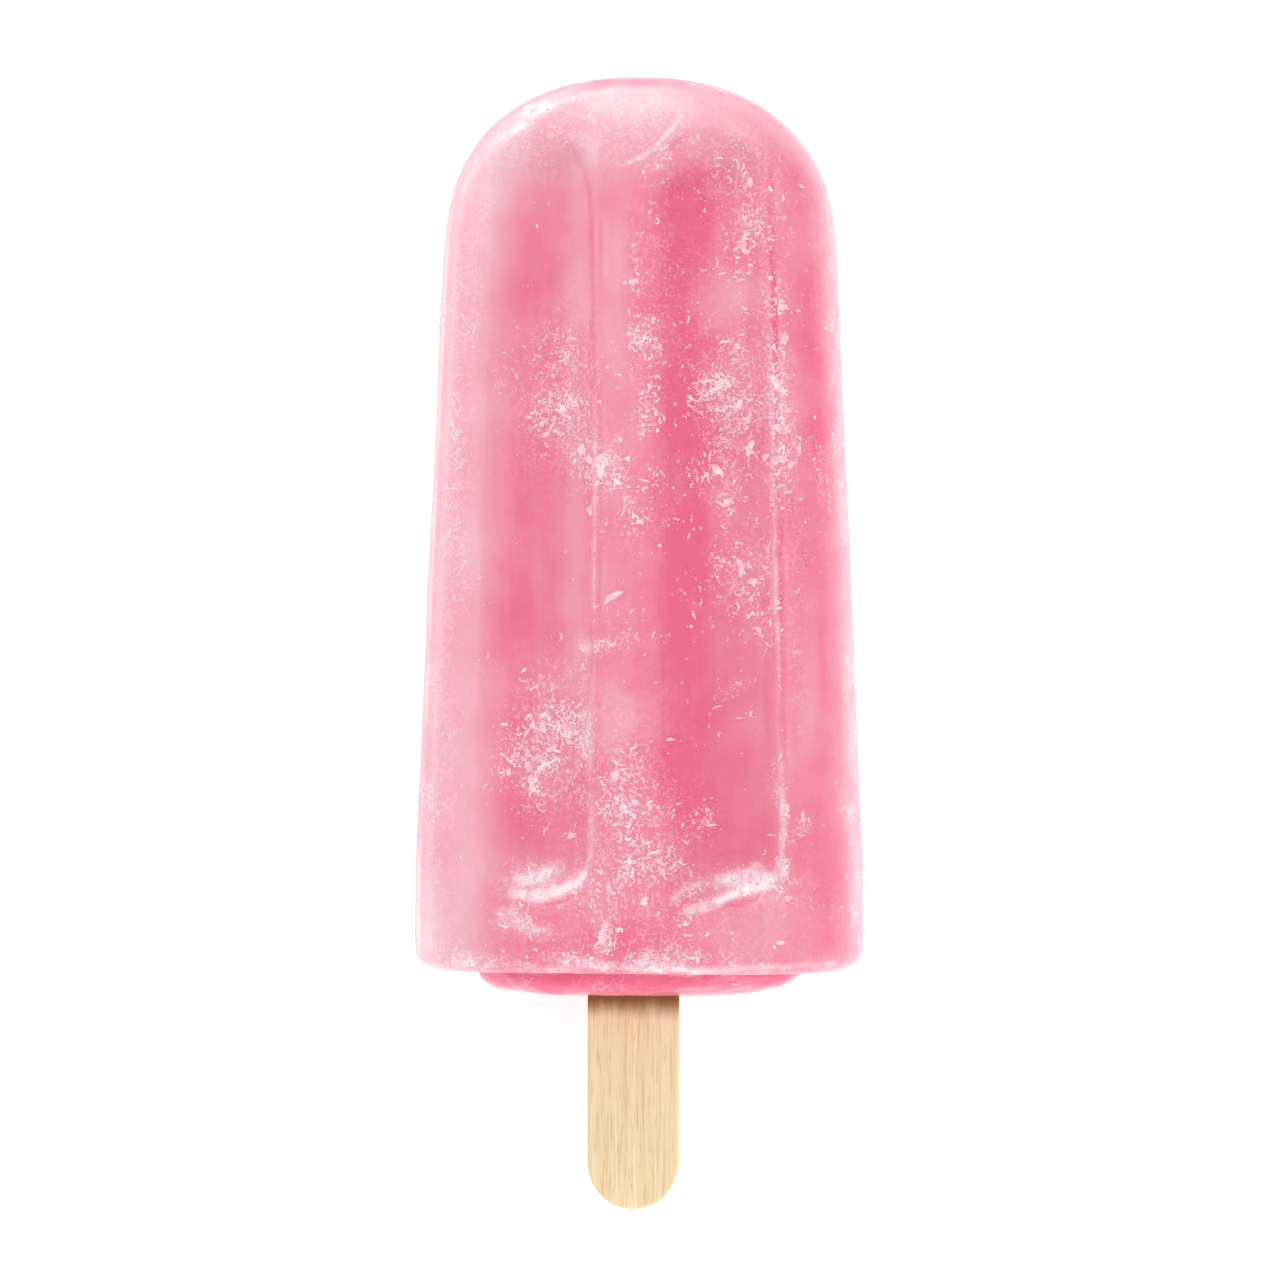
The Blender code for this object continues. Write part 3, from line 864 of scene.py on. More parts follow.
    def veil_and_light_field(self, across: Array, front: Array, side: Array, cloud: Array, deep: Array) -> Array:
        """How pale the ice is, painted light and shade included: frosty ribs and edges, clear flutes with a
        deeper left wall that is painted shade.

        Starts from a rib's value, falls by a bell over each flute whose middle lies left of the flute's
        own, and rises on the crown and the sides, with clouds added and deep places taken away. Painted
        light: the side that faces the lamp, a line inside the left edge, the head's upper-left rim and the
        lines by each right arris. Painted shade: the far side, the rim's steep outer band, the right flute
        more than the left, and a dark line by each right arris.
        """
        p = self.surface.points
        x, y = p[..., 0], p[..., 1]
        n = self.surface.normals
        share, within = self.flutes.position(x, y)
        lit = front * 2.0 - 1.0
        tone = self.tones
        facing = smooth_step(-0.9, 0.9, n[..., 2])
        turned = facing * 2.0 - 1.0
        # Flutes: clear ice with painted shade, deepest on the left walls and more on the right flute.
        hollow = bell(share * lit, *tone.flute_at) * within
        veil_and_light = tone.rib - (tone.flute + tone.flute_shade_by_width * across * lit) * hollow
        veil_and_light -= tone.middle * bell(across, *tone.middle_at)
        # Painted light: paler on the side that faces the lamp.
        start, end = tone.painted_lit_side_at
        left, right = smooth_step(-start, -end, across), smooth_step(start, end, across)
        veil_and_light += tone.painted_lit_side * (facing * left + (1.0 - facing) * right)
        veil_and_light += tone.tip * smooth_step(*tone.tip_at, y)
        rise = np.abs(n[..., 2])
        upper_left = smooth_step(*tone.upper_left_at, 0.75 * n[..., 1] - 0.75 * n[..., 0] * turned)
        top = smooth_step(0.3, 0.8, n[..., 1])
        # Painted highlight along the head's upper-left rim.
        veil_and_light += upper_left * (tone.head_rim_highlight - tone.head_rim_highlight_on_top * top) * bell(rise, *tone.head_rim_highlight_at)
        # Painted shade on the side away from the lamp.
        veil_and_light -= tone.painted_shade_side * smooth_step(*tone.painted_shade_side_at, across * turned)
        # Painted highlight just inside the left edge, broken along its length.
        broken = smooth_step(-0.9, 0.2, lattice_noise(p, (2.0, 5.0, 50.0), Draw.EDGE_BREAKS))
        line = tone.edge_highlight * bell(across, *tone.edge_highlight_at) * smooth_step(0.1, 0.4, n[..., 2])
        veil_and_light += line * broken * smooth_step(*tone.edge_highlight_top_at, y)
        # Painted shade on the rim's steep outer band.
        veil_and_light -= (tone.rim_shade * upper_left + tone.rim_shade_on_top * top) * bell(rise, *tone.rim_shade_at)
        veil_and_light += tone.side * side
        # Deep places take pale away: on the front they are mostly painted shade.
        veil_and_light += tone.cloud * cloud - tone.deep * deep
        veil_and_light -= tone.lip * smooth_step(0.5, -0.5, y)
        # Painted highlight and shade lines by each right arris.
        veil_and_light += self.arris_light_and_shade(share * lit, y) * within
        return veil_and_light + tone.drift * billow(p, 9.0, Draw.DRIFT)

    def arris_light_and_shade(self, share: Array, y: Array) -> Array:
        """Painted highlight, shade and highlight lines beside each flute's right arris, broken along their
        length.
        """
        breaks = lattice_noise(self.surface.points, (3.0, 6.0, 50.0), Draw.ARRIS_BREAKS)
        rows = ((0.09, 0.94, 0.05), (-0.06, 1.04, 0.045), (0.07, 1.15, 0.045))
        lines = sum(strength * bell(share, place, width) for strength, place, width in rows)
        return lines * smooth_step(-0.55, 0.3, breaks)

    def raise_relief(self) -> None:
        """Displace the skin along its normals by the unevenness of ice that has frosted and half melted.

        Broad waves, shallow lumps, rough frost where clumps and crust lie, and a groove beside each
        flute's right arris. It fades out in the slot and at the poles.
        """
        p = self.surface.points
        x, y = p[..., 0], p[..., 1]
        share, within = self.flutes.position(x, y)
        lit = self.fields["front"] * 2.0 - 1.0
        high, fields = self.heights, self.fields
        relief = high.waves * lattice_noise(p, (9.0, 14.0, 9.0), Draw.WAVES)
        relief += high.lumps * lattice_noise(p, 3.0, Draw.LUMPS)
        rough = np.clip(fields["clump"] + 0.8 * fields["crust"] + 0.40 * fields["sand"], 0.0, 1.3)
        relief += high.rough * rough * billow(p, 1.1, Draw.ROUGHNESS, 2)
        relief += high.crust * fields["crust"] * billow(p, 1.8, Draw.CRUST, 2)
        ridge, groove = bell(share * lit, 0.96, 0.05), bell(share * lit, 1.06, 0.05)
        relief += within * (high.ridge * ridge - high.groove * groove)
        uneven = high.lip * billow(p, 5.0, Draw.LIP, 3) + high.lip_fine * lattice_noise(p, 1.2, Draw.LIP_FINE)
        relief += smooth_step(0.2, -1.2, y) * uneven
        relief += fields["snow_and_highlight"] * (high.snow_and_highlight + high.snow_lumps * billow(p, 0.8, Draw.SNOW, 2))
        still, fading = self.still_rings, self.fading_rings
        stop = self.bar_rings + self.round_rings + self.ledge_rings - 1 + self.lip_rings - still
        fade = np.ones(p.shape[0])
        fade[stop:] = 0.0
        fade[stop - fading:stop] = np.linspace(1.0, 0.0, fading)
        fade[:still] = np.linspace(0.0, 1.0, still)
        normals = self.surface.normals
        self.surface = Surface(p + normals * (relief * fade[:, None])[..., None], self.surface.poles)

    def build(self, material: bpy.types.Material) -> bpy.types.Object:
        """Make the skin's object, which stands for the CAD bar."""
        grid = self.surface.points
        points = np.concatenate([grid.reshape(-1, 3), np.stack(self.surface.poles)])
        piece = make_piece("ice_skin", self.mould, points, self.surface.faces(), material)
        for name in ("veil_and_light", "sand", "clump", "crust"):
            values = self.fields[name].ravel()
            add_attribute(piece, name, np.append(values, [self.fields[name][0].mean(), 0.0]))
        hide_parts("ice")
        return piece


@dataclass
class Frost:
    """Loose frost that grows on the skin: grains, little curls and flat flakes, one piece for each kind.

    Sizes are in millimetres. A least and a spread go with a random share raised to the power, so that most
    crystals are small and a few are large.
    """

    skin: IceSkin
    grains: int = 12000
    grain_least: float = 0.070
    grain_spread: float = 0.15
    grain_power: float = 3.0
    grain_lumps: float = 0.28
    grain_sides: int = 6
    grain_rim_drop: float = -0.15
    grain_top: float = 0.38
    grain_foot: float = -0.6
    curls: int = 2300
    curl_least: float = 0.30
    curl_spread: float = 1.1
    curl_power: float = 2.4
    curl_wander: float = 0.55
    curl_radius: float = 0.065
    curl_radius_spread: float = 0.08
    curl_flatness: float = 0.42
    flakes: int = 190
    flake_least: float = 0.18
    flake_spread: float = 0.50
    flake_power: float = 2.4
    flake_ragged: float = 0.34
    flake_foot: float = 0.15
    first_row: int = 4
    spare_rows: int = 12

    @property
    def last_row(self) -> int:
        """Where frost stops, short of the slot's wall."""
        return self.skin.surface.points.shape[0] - self.spare_rows

    def places(self, count: int, density: Array, rng: np.random.Generator) -> tuple[Array, Array]:
        """Draw grid places with a chance in step with density times each cell's area.

        Args:
            count: How many places to draw.
            density: Wanted frost, of the grid's shape.
            rng: Source of the draws.

        Returns:
            Fractional ring numbers and places around the ring.
        """
        along, around = self.skin.surface.spacing()
        chance = (density * along * around)[self.first_row:self.last_row]
        chosen = rng.choice(chance.size, count, p=chance.ravel() / chance.sum())
        ring, place = np.divmod(chosen, chance.shape[1])
        ring = ring + self.first_row + rng.uniform(-0.5, 0.5, count)
        return ring, place + rng.uniform(-0.5, 0.5, count)

    def offset(self, ring: Array, place: Array, right: Array, up: Array) -> tuple[Array, Array]:
        """Points and normals of the skin beside each drawn place.

        Args:
            ring, place: The drawn places, shape (n).
            right, up: Millimetres around and along from there, shape (n, m).

        Returns:
            Points and unit normals, shape (n, m, 3).
        """
        along, around = self.skin.surface.spacing()
        i = np.clip(np.round(ring).astype(int), 0, along.shape[0] - 1)
        j = np.round(place).astype(int) % along.shape[1]
        rings = ring[:, None] + up / along[i, j][:, None]
        return self.skin.surface.at(rings, place[:, None] + right / around[i, j][:, None])

    def density(self, clump: float, crust: float, sand: float, loose: float) -> Array:
        """Mix the skin's fields into one density, sharpened so that frost gathers in tight groups."""
        fields = self.skin.fields
        tight = smooth_step(-0.2, 0.7, billow(self.skin.surface.points, 2.2, Draw.GATHERING))
        clumped = np.minimum(fields["clump"], 0.8) ** 1.3 + 0.40 * fields["snow_and_highlight"]
        gathered = (clump * clumped + crust * fields["crust"]) * (0.12 + tight)
        on_bar = smooth_step(0.2, 1.0, self.skin.surface.points[..., 1])
        return (gathered + sand * fields["sand"] * tight + loose) * (0.06 + 0.94 * on_bar)

    def build_grains(self, material: bpy.types.Material) -> bpy.types.Object:
        """Half-sunk lumps: a ring of points between a top and a foot, each pushed about at random."""
        rng = np.random.default_rng(Draw.GRAINS)
        count, sides = self.grains, self.grain_sides
        ring, place = self.places(count, self.density(1.0, 0.7, 0.030, 0.0012), rng)
        centre, normal = self.skin.surface.at(ring, place)
        tangent, side = tangent_frame(normal, rng.uniform(0.0, 2.0 * np.pi, count))
        size = self.grain_least + self.grain_spread * rng.random(count) ** self.grain_power
        size = size + 0.03 * rng.random(count)
        angle = np.arange(sides) * 2.0 * np.pi / sides
        rim = np.stack([np.cos(angle), np.sin(angle), np.full(sides, self.grain_rim_drop)], axis=-1)
        shape = np.concatenate([rim, [[0.0, 0.0, self.grain_top], [0.0, 0.0, self.grain_foot]]])
        local = shape[None] * (1.0 + rng.uniform(-self.grain_lumps, self.grain_lumps, (count, sides + 2, 1)))
        long, broad = rng.uniform(0.8, 1.5, count), rng.uniform(0.7, 1.1, count)
        stretch = np.stack([long, broad, np.ones(count)], axis=-1)
        local = local * size[:, None, None] * stretch[:, None]
        x, y, z = local[..., :1], local[..., 1:2], local[..., 2:]
        points = centre[:, None] + (x * tangent[:, None] + y * side[:, None] + z * normal[:, None])
        k = np.arange(sides)
        upper = np.stack([k, (k + 1) % sides, np.full(sides, sides)], axis=-1)
        lower = np.stack([(k + 1) % sides, k, np.full(sides, sides + 1)], axis=-1)
        base = (np.arange(count) * (sides + 2))[:, None, None]
        faces = (np.concatenate([upper, lower])[None] + base).reshape(-1, 3)
        return self.finish("frost_grains", points, faces, material)

    def build_curls(self, material: bpy.types.Material, knots: int = 9, sides: int = 5) -> bpy.types.Object:
        """Little crooked ridges: a low tube of five sides along a wandering line laid on the skin.

        The heading drifts from knot to knot, each knot is placed on the skin itself, and the radius
        follows a half sine so that both ends run out.
        """
        rng = np.random.default_rng(Draw.CURLS)
        count = self.curls
        ring, place = self.places(count, self.density(1.2, 0.15, 0.006, 0.0001), rng)
        length = self.curl_least + self.curl_spread * rng.random(count) ** self.curl_power
        heading = rng.uniform(0.0, 2.0 * np.pi, count)[:, None]
        heading = heading + np.cumsum(rng.normal(0.0, self.curl_wander, (count, knots)), axis=1)
        step = (length / (knots - 1))[:, None]
        run_x, run_y = (np.cumsum(trig(heading) * step, axis=1) for trig in (np.cos, np.sin))
        centre, normal = self.offset(ring, place, run_x, run_y)
        tangent = np.gradient(centre, axis=1)
        tangent /= np.maximum(np.linalg.norm(tangent, axis=-1, keepdims=True), 1e-9)
        side = np.cross(normal, tangent)
        swell = np.sin(np.linspace(0.12, np.pi - 0.12, knots))[None] ** 0.6
        radius = (self.curl_radius + self.curl_radius_spread * rng.random(count))[:, None] * swell
        radius = radius * (1.0 + rng.uniform(-0.3, 0.3, (count, knots)))
        angle = np.arange(sides) * 2.0 * np.pi / sides + np.pi / 2.0
        beside, above = np.cos(angle)[:, None], self.curl_flatness * np.sin(angle)[:, None]
        section = beside * side[:, :, None] + above * normal[:, :, None]
        points = centre[:, :, None] + radius[:, :, None, None] * section
        k, m = np.arange(knots - 1)[:, None], np.arange(sides)[None]
        a, b = k * sides + m, k * sides + (m + 1) % sides
        tube = np.stack([a, b, b + sides, a + sides], axis=-1).reshape(-1, 4)
        ends = [list(reversed(range(sides))), [(knots - 1) * sides + m for m in range(sides)]]
        base = np.arange(count) * knots * sides
        faces = (tube[None] + base[:, None, None]).reshape(-1, 4).tolist()
        faces += [[start + corner for corner in end] for start in base.tolist() for end in ends]
        return self.finish("frost_curls", points, faces, material)

    def build_flakes(self, material: bpy.types.Material, rim: int = 9) -> bpy.types.Object:
        """Thin pale scabs: a ragged outline laid on the skin, raised a little inside and sunk at the rim.

        Three rings of points at shares 1, 0.72 and 0.35 of the outline's radius stand 0.05 mm under and
        0.02 and 0.05 mm over the skin, round a middle point; a foot under the skin closes the shape.
        """
        rng = np.random.default_rng(Draw.FLAKES)
        count = self.flakes
        ring, place = self.places(count, self.density(1.1, 0.5, 0.0, 0.0), rng)
        radius = self.flake_least + self.flake_spread * rng.random(count) ** self.flake_power
        angle = np.arange(rim) * 2.0 * np.pi / rim
        ragged = np.clip(1.0 + self.flake_ragged * rng.normal(0.0, 1.0, (count, rim)), 0.35, 1.7)
        spin, stretch = rng.uniform(0.0, np.pi, count)[:, None], rng.uniform(1.0, 1.9, count)[:, None]
        local_x, local_y = ragged * np.cos(angle) * stretch, ragged * np.sin(angle)
        out_x = (local_x * np.cos(spin) - local_y * np.sin(spin)) * radius[:, None]
        out_y = (local_x * np.sin(spin) + local_y * np.cos(spin)) * radius[:, None]
        layers = []
        for share, lift in ((1.0, -0.05), (0.72, 0.02), (0.35, 0.05)):
            spot, normal = self.offset(ring, place, out_x * share, out_y * share)
            layers.append(spot + normal * (lift + 0.02 * rng.normal(0.0, 1.0, (count, rim)))[..., None])
        spot, normal = self.skin.surface.at(ring, place)
        layers.append((spot + normal * 0.05)[:, None])
        layers.append((spot - normal * self.flake_foot)[:, None])
        points = np.concatenate(layers, axis=1)
        k = np.arange(rim)
        after = (k + 1) % rim
        walls = [np.stack([k + s, after + s, after + s + rim, k + s + rim], axis=-1) for s in (0, rim)]
        top = np.stack([k + 2 * rim, after + 2 * rim, np.full(rim, 3 * rim)], axis=-1)
        foot = np.stack([after, k, np.full(rim, 3 * rim + 1)], axis=-1)
        base = np.arange(count)[:, None, None] * (3 * rim + 2)
        faces = (np.concatenate(walls)[None] + base).reshape(-1, 4).tolist()
        faces += (np.concatenate([top, foot])[None] + base).reshape(-1, 3).tolist()
        return self.finish("frost_flakes", points, faces, material)

    def finish(
        self, name: str, points: Array, faces: Array | list, material: bpy.types.Material
    ) -> bpy.types.Object:
        """Write one kind of frost as a piece."""
        rows = faces if isinstance(faces, list) else faces.tolist()
        piece = make_piece(name, self.skin.mould, points.reshape(-1, 3), rows, material, smooth=False)
        return piece


def tangent_frame(normal: Array, spin: Array) -> tuple[Array, Array]:
    """Two unit vectors in the skin's plane, turned by spin: t = a cos + b sin, and s = n x t."""
    helper = np.where(np.abs(normal[:, 1:2]) < 0.9, [[0.0, 1.0, 0.0]], [[1.0, 0.0, 0.0]])
    a = np.cross(helper, normal)
    a /= np.linalg.norm(a, axis=-1, keepdims=True)
    b = np.cross(normal, a)
    tangent = a * np.cos(spin)[:, None] + b * np.sin(spin)[:, None]
    return tangent, np.cross(normal, tangent)


class Graph:
    """Short hand for building a node tree."""

    def __init__(self, tree: bpy.types.NodeTree) -> None:
        """Keep the tree that the nodes go into."""
        self.tree = tree

    def node(self, kind: str, inputs: dict | None = None, **settings: object) -> bpy.types.Node:
        """Add a node, set its own settings, and fill or link its inputs.

        Args:
            kind: Blender's name of the node type.
            inputs: Values or sockets by input name or number.
            settings: Attributes of the node.

        Returns:
            The new node.
        """
        made = self.tree.nodes.new(kind)
        for name, value in settings.items():
            setattr(made, name, value)
        self.feed(made, inputs or {})
        return made

    def feed(self, node: bpy.types.Node, inputs: dict) -> None:
        """Fill or link a node's inputs, given by name or number."""
        for key, value in inputs.items():
            if isinstance(value, bpy.types.NodeSocket):
                self.tree.links.new(value, node.inputs[key])
            else:
                node.inputs[key].default_value = value

    def math(self, operation: str, a: Value, b: Value = 0.0, clamp: bool = False) -> Socket:
        """Result of a math node."""
        return self.node("ShaderNodeMath", {0: a, 1: b}, operation=operation, use_clamp=clamp).outputs[0]

    def add(self, a: Value, b: Value, clamp: bool = False) -> Socket:
        """Sum of a and b, kept from 0 to 1 if clamp is set."""
        return self.math("ADD", a, b, clamp)

    def times(self, a: Value, b: Value, clamp: bool = False) -> Socket:
        """Product of a and b, kept from 0 to 1 if clamp is set."""
        return self.math("MULTIPLY", a, b, clamp)

    def bump(self, height: Value, strength: float, distance: float) -> Socket:
        """Normal bent by a height."""
        inputs = {"Height": height, "Strength": strength, "Distance": distance}
        return self.node("ShaderNodeBump", inputs).outputs["Normal"]

    def mix(self, factor: Value, a: Value, b: Value) -> Socket:
        """Colour between a and b."""
        return self.node("ShaderNodeMix", {0: factor, 6: a, 7: b}, data_type="RGBA").outputs[2]

    def ramp(self, value: Value, low: float, high: float, start: float = 0.0, end: float = 1.0) -> Socket:
        """Value carried smoothly from low..high to start..end."""
        inputs = {0: value, 1: low, 2: high, 3: start, 4: end}
        return self.node("ShaderNodeMapRange", inputs, interpolation_type="SMOOTHSTEP").outputs[0]

    def noise(self, vector: Value, scale: float, detail: float = 2.0, rough: float = 0.5) -> Socket:
        """Noise from 0 to 1."""
        inputs = {"Vector": vector, "Scale": scale, "Detail": detail, "Roughness": rough}
        return self.node("ShaderNodeTexNoise", inputs).outputs[0]

    def stretched(self, vector: Value, scale: tuple[float, float, float]) -> Socket:
        """Coordinates scaled on each axis."""
        return self.node("ShaderNodeMapping", {"Vector": vector, "Scale": scale}).outputs[0]

    def attribute(self, name: str) -> Socket:
        """A number stored on the mesh's points."""
        return self.node("ShaderNodeAttribute", attribute_name=name).outputs["Fac"]

    def object_place(self) -> Socket:
        """Object coordinates."""
        return self.node("ShaderNodeTexCoord").outputs["Object"]

    def group(self, tree: bpy.types.NodeTree, inputs: dict) -> bpy.types.Node:
        """Place a node group with its own values."""
        return self.node("ShaderNodeGroup", inputs, node_tree=tree)


def new_group(
    name: str, inputs: dict[str, str], outputs: Sequence[str]
) -> tuple[Graph, dict[str, Socket], bpy.types.Node]:
    """Start a shader node group.

    Args:
        name: Name of the group.
        inputs: Socket types by input name.
        outputs: Names of the outputs, all numbers.

    Returns:
        The graph, the input sockets by name and the output node.
    """
    tree = bpy.data.node_groups.new(name, "ShaderNodeTree")
    for socket, kind in inputs.items():
        tree.interface.new_socket(socket, in_out="INPUT", socket_type=kind)
    for socket in outputs:
        tree.interface.new_socket(socket, in_out="OUTPUT", socket_type=NUMBER)
    source = tree.nodes.new("NodeGroupInput")
    return Graph(tree), {name: source.outputs[name] for name in inputs}, tree.nodes.new("NodeGroupOutput")


def crystals_group() -> bpy.types.NodeTree:
    """Fine crystals in a frosted surface: bright points and a grainy height, both held by a mask."""
    inputs = {"Place": VECTOR, "Mask": NUMBER, "Size": NUMBER}
    graph, given, out = new_group("fine_crystals", inputs, ("Points", "Height"))
    grain_scale, line_scale = 1900.0, 820.0
    cell = {"Vector": given["Place"], "Scale": graph.math("DIVIDE", 1.0, given["Size"])}
    cells = graph.node("ShaderNodeTexVoronoi", cell, feature="F1").outputs["Distance"]
    grain = graph.noise(given["Place"], grain_scale, 2.0, 0.6)
    level = graph.noise(given["Place"], line_scale, 3.0, 0.62)
    distance = graph.math("ABSOLUTE", graph.math("SUBTRACT", level, 0.5))
    crooked = graph.times(graph.ramp(distance, 0.045, 0.012), graph.ramp(grain, 0.40, 0.52))
    points = graph.times(graph.ramp(cells, 0.42, 0.14), graph.ramp(grain, 0.36, 0.50))
    masked = graph.times(graph.math("MAXIMUM", crooked, points), given["Mask"], clamp=True)
    height = graph.times(graph.add(grain, masked), given["Mask"])
    graph.feed(out, {"Points": masked, "Height": height})
    return graph.tree


def cloudiness_group() -> bpy.types.NodeTree:
    """Unevenness of frozen juice: soft clouds and faint streaks along the way it left the mould."""
    graph, given, out = new_group("cloudiness", {"Place": VECTOR, "Streaks": NUMBER}, ("Cloud", "Streak"))
    cloud_scale, streak_scale = 150.0, 700.0
    cloud = graph.math("SUBTRACT", graph.noise(given["Place"], cloud_scale, 4.0, 0.55), 0.5)
    lines = graph.noise(graph.stretched(given["Place"], (1.0, 0.07, 1.0)), streak_scale, 3.0, 0.6)
    streak = graph.times(graph.math("SUBTRACT", lines, 0.5), given["Streaks"])
    graph.feed(out, {"Cloud": cloud, "Streak": streak})
    return graph.tree


def principled(name: str) -> tuple[bpy.types.Material, Graph, bpy.types.Node]:
    """A material with its Principled shader."""
    material = bpy.data.materials.new(name)
    material.use_nodes = True
    graph = Graph(material.node_tree)
    return material, graph, material.node_tree.nodes["Principled BSDF"]


@dataclass(frozen=True)
class IceFinish:
    """Finish of the frozen juice: strong clear pink under a pale veil, with crystals where it is frosted.

    The stored veil also holds painted highlights and painted shade.
    """

    deep: tuple[float, ...] = srgb(237, 103, 139)
    pale: tuple[float, ...] = srgb(255, 244, 247)
    clear_roughness: float = 0.26
    frosted_roughness: float = 0.50
    roughness_swing: float = 0.07
    wet_coat: float = 0.50
    frosted_coat: float = 0.25
    coat_roughness: float = 0.14
    sheen: float = 0.08
    bump_strength: float = 0.55
    bump_distance: float = 0.00022
    crystal_size: float = 0.00042
    subsurface: float = 0.2
    subsurface_scale: float = 0.0022
    subsurface_radius: tuple[float, float, float] = (1.0, 0.35, 0.45)
    cloud_veil: float = 0.28
    streak_veil: float = 0.12
    crystal_veil: float = 0.42
    clump_veil: float = 0.08
    crust_veil: float = 0.22

    def make(self, crystals: bpy.types.NodeTree, clouds: bpy.types.NodeTree) -> bpy.types.Material:
        """Build the skin's material from its stored fields and the two groups."""
        material, graph, shader = principled("frozen_juice")
        place = graph.object_place()
        sand, clump, crust = (graph.attribute(name) for name in ("sand", "clump", "crust"))
        frosted = graph.add(graph.add(sand, clump), crust, clamp=True)
        cloud = graph.group(clouds, {"Place": place, "Streaks": 1.0})
        thick = graph.add(graph.times(sand, 0.52), graph.add(clump, crust), clamp=True)
        fine = graph.group(crystals, {"Place": place, "Mask": thick, "Size": self.crystal_size})
        # The stored veil holds pale cloud, painted highlights and painted shade.
        veil_and_light = graph.attribute("veil_and_light")
        parts = (
            (cloud.outputs["Cloud"], self.cloud_veil), (cloud.outputs["Streak"], self.streak_veil),
            (fine.outputs["Points"], self.crystal_veil), (clump, self.clump_veil),
        )
        for part, share in parts:
            veil_and_light = graph.add(veil_and_light, graph.times(part, share))
        veil_and_light = graph.add(veil_and_light, graph.times(crust, self.crust_veil), clamp=True)
        swing = graph.ramp(
            graph.noise(place, 320.0, 3.0), 0.3, 0.7, -self.roughness_swing, self.roughness_swing
        )
        rough = graph.add(graph.ramp(frosted, 0.0, 1.0, self.clear_roughness, self.frosted_roughness), swing)
        waves = graph.times(graph.noise(place, 420.0), 0.9)
        height = graph.add(graph.times(fine.outputs["Height"], 0.55), waves)
        graph.feed(shader, {
            "Base Color": graph.mix(veil_and_light, self.deep, self.pale), "Roughness": rough,
            "Normal": graph.bump(height, self.bump_strength, self.bump_distance),
            "Coat Weight": graph.ramp(frosted, 0.1, 0.8, self.wet_coat, self.frosted_coat),
            "Coat Roughness": self.coat_roughness, "IOR": ICE_IOR, "Sheen Weight": self.sheen,
            "Subsurface Weight": self.subsurface, "Subsurface Scale": self.subsurface_scale,
            "Subsurface Radius": self.subsurface_radius,
        })
        return material


@dataclass(frozen=True)
class FrostFinish:
    """Finish of loose frost: nearly white, with a breath of the juice's pink."""

    tint: tuple[float, ...]
    white: tuple[float, ...] = srgb(255, 238, 241)
    roughness: float = 0.34
    coat: float = 0.35
    coat_roughness: float = 0.14
    bump_strength: float = 0.15
    bump_distance: float = 0.0001
    crystal_size: float = 0.0003

    def make(self, name: str, crystals: bpy.types.NodeTree, clouds: bpy.types.NodeTree) -> bpy.types.Material:
        """Build the material of one kind of frost."""
        material, graph, shader = principled(name)
        place = graph.object_place()
        cloud = graph.group(clouds, {"Place": place, "Streaks": 0.3})
        fine = graph.group(crystals, {"Place": place, "Mask": 1.0, "Size": self.crystal_size})
        share = graph.ramp(graph.noise(place, 1300.0, 2.0), 0.40, 0.62)
        share = graph.add(share, graph.times(cloud.outputs["Cloud"], 0.4), clamp=True)
        graph.feed(shader, {
            "Base Color": graph.mix(share, self.tint, self.white), "Roughness": self.roughness,
            "Normal": graph.bump(fine.outputs["Height"], self.bump_strength, self.bump_distance),
            "Coat Weight": self.coat, "Coat Roughness": self.coat_roughness, "IOR": ICE_IOR,
        })
        return material


@dataclass(frozen=True)
class WoodFinish:
    """Finish of the stick: pale straight-grained birch, damp and brown where it leaves the ice.

    The brown band there is a damp stain and a painted shadow under the ice's lip.
    """

    light: tuple[float, ...] = srgb(250, 231, 190)
    body: tuple[float, ...] = srgb(245, 220, 174)
    dark: tuple[float, ...] = srgb(220, 184, 130)
    # Damp stain and painted shadow under the ice's lip, with how far it reaches and wanders.
    damp_and_shadow: tuple[float, ...] = srgb(138, 90, 34)
    damp_and_shadow_reach: float = 0.0030
    damp_and_shadow_wander: float = 0.0016
    bump_strength: float = 0.25
    bump_distance: float = 0.00008

    def make(self, ice_edge: float) -> bpy.types.Material:
        """Build the wood's material.

        Args:
            ice_edge: Y of the ice's lowest edge, in metres.

        Returns:
            The material.
        """
        material, graph, shader = principled("birch")
        place = graph.object_place()
        fibres = graph.noise(graph.stretched(place, (1.0, 0.022, 1.0)), 4200.0, 3.0, 0.6)
        bands = graph.noise(graph.stretched(place, (1.0, 0.02, 1.0)), 900.0, 3.0, 0.55)
        pores = graph.noise(graph.stretched(place, (1.0, 0.07, 1.0)), 4200.0, 2.0, 0.5)
        colour = graph.mix(graph.ramp(bands, 0.36, 0.66), self.light, self.body)
        colour = graph.mix(graph.times(graph.ramp(fibres, 0.48, 0.66), 0.50), colour, self.dark)
        colour = graph.mix(graph.times(graph.ramp(pores, 0.60, 0.68), 0.45), colour, self.dark)
        # Damp stain and painted shadow: brown up to the ice's edge, its lower edge wandering.
        height = graph.node("ShaderNodeSeparateXYZ", {0: place}).outputs[1]
        wander = graph.noise(graph.stretched(place, (1.0, 0.2, 1.0)), 900.0)
        edge = graph.add(height, graph.times(graph.math("SUBTRACT", wander, 0.5), self.damp_and_shadow_wander))
        damp_and_shadow = graph.ramp(edge, ice_edge - self.damp_and_shadow_reach, ice_edge - 0.0002)
        graph.feed(shader, {
            "Base Color": graph.mix(damp_and_shadow, colour, self.damp_and_shadow),
            "Roughness": graph.ramp(bands, 0.3, 0.7, 0.62, 0.74),
            "Normal": graph.bump(
                graph.add(fibres, graph.times(pores, 0.8)), self.bump_strength, self.bump_distance
            ),
        })
        return material


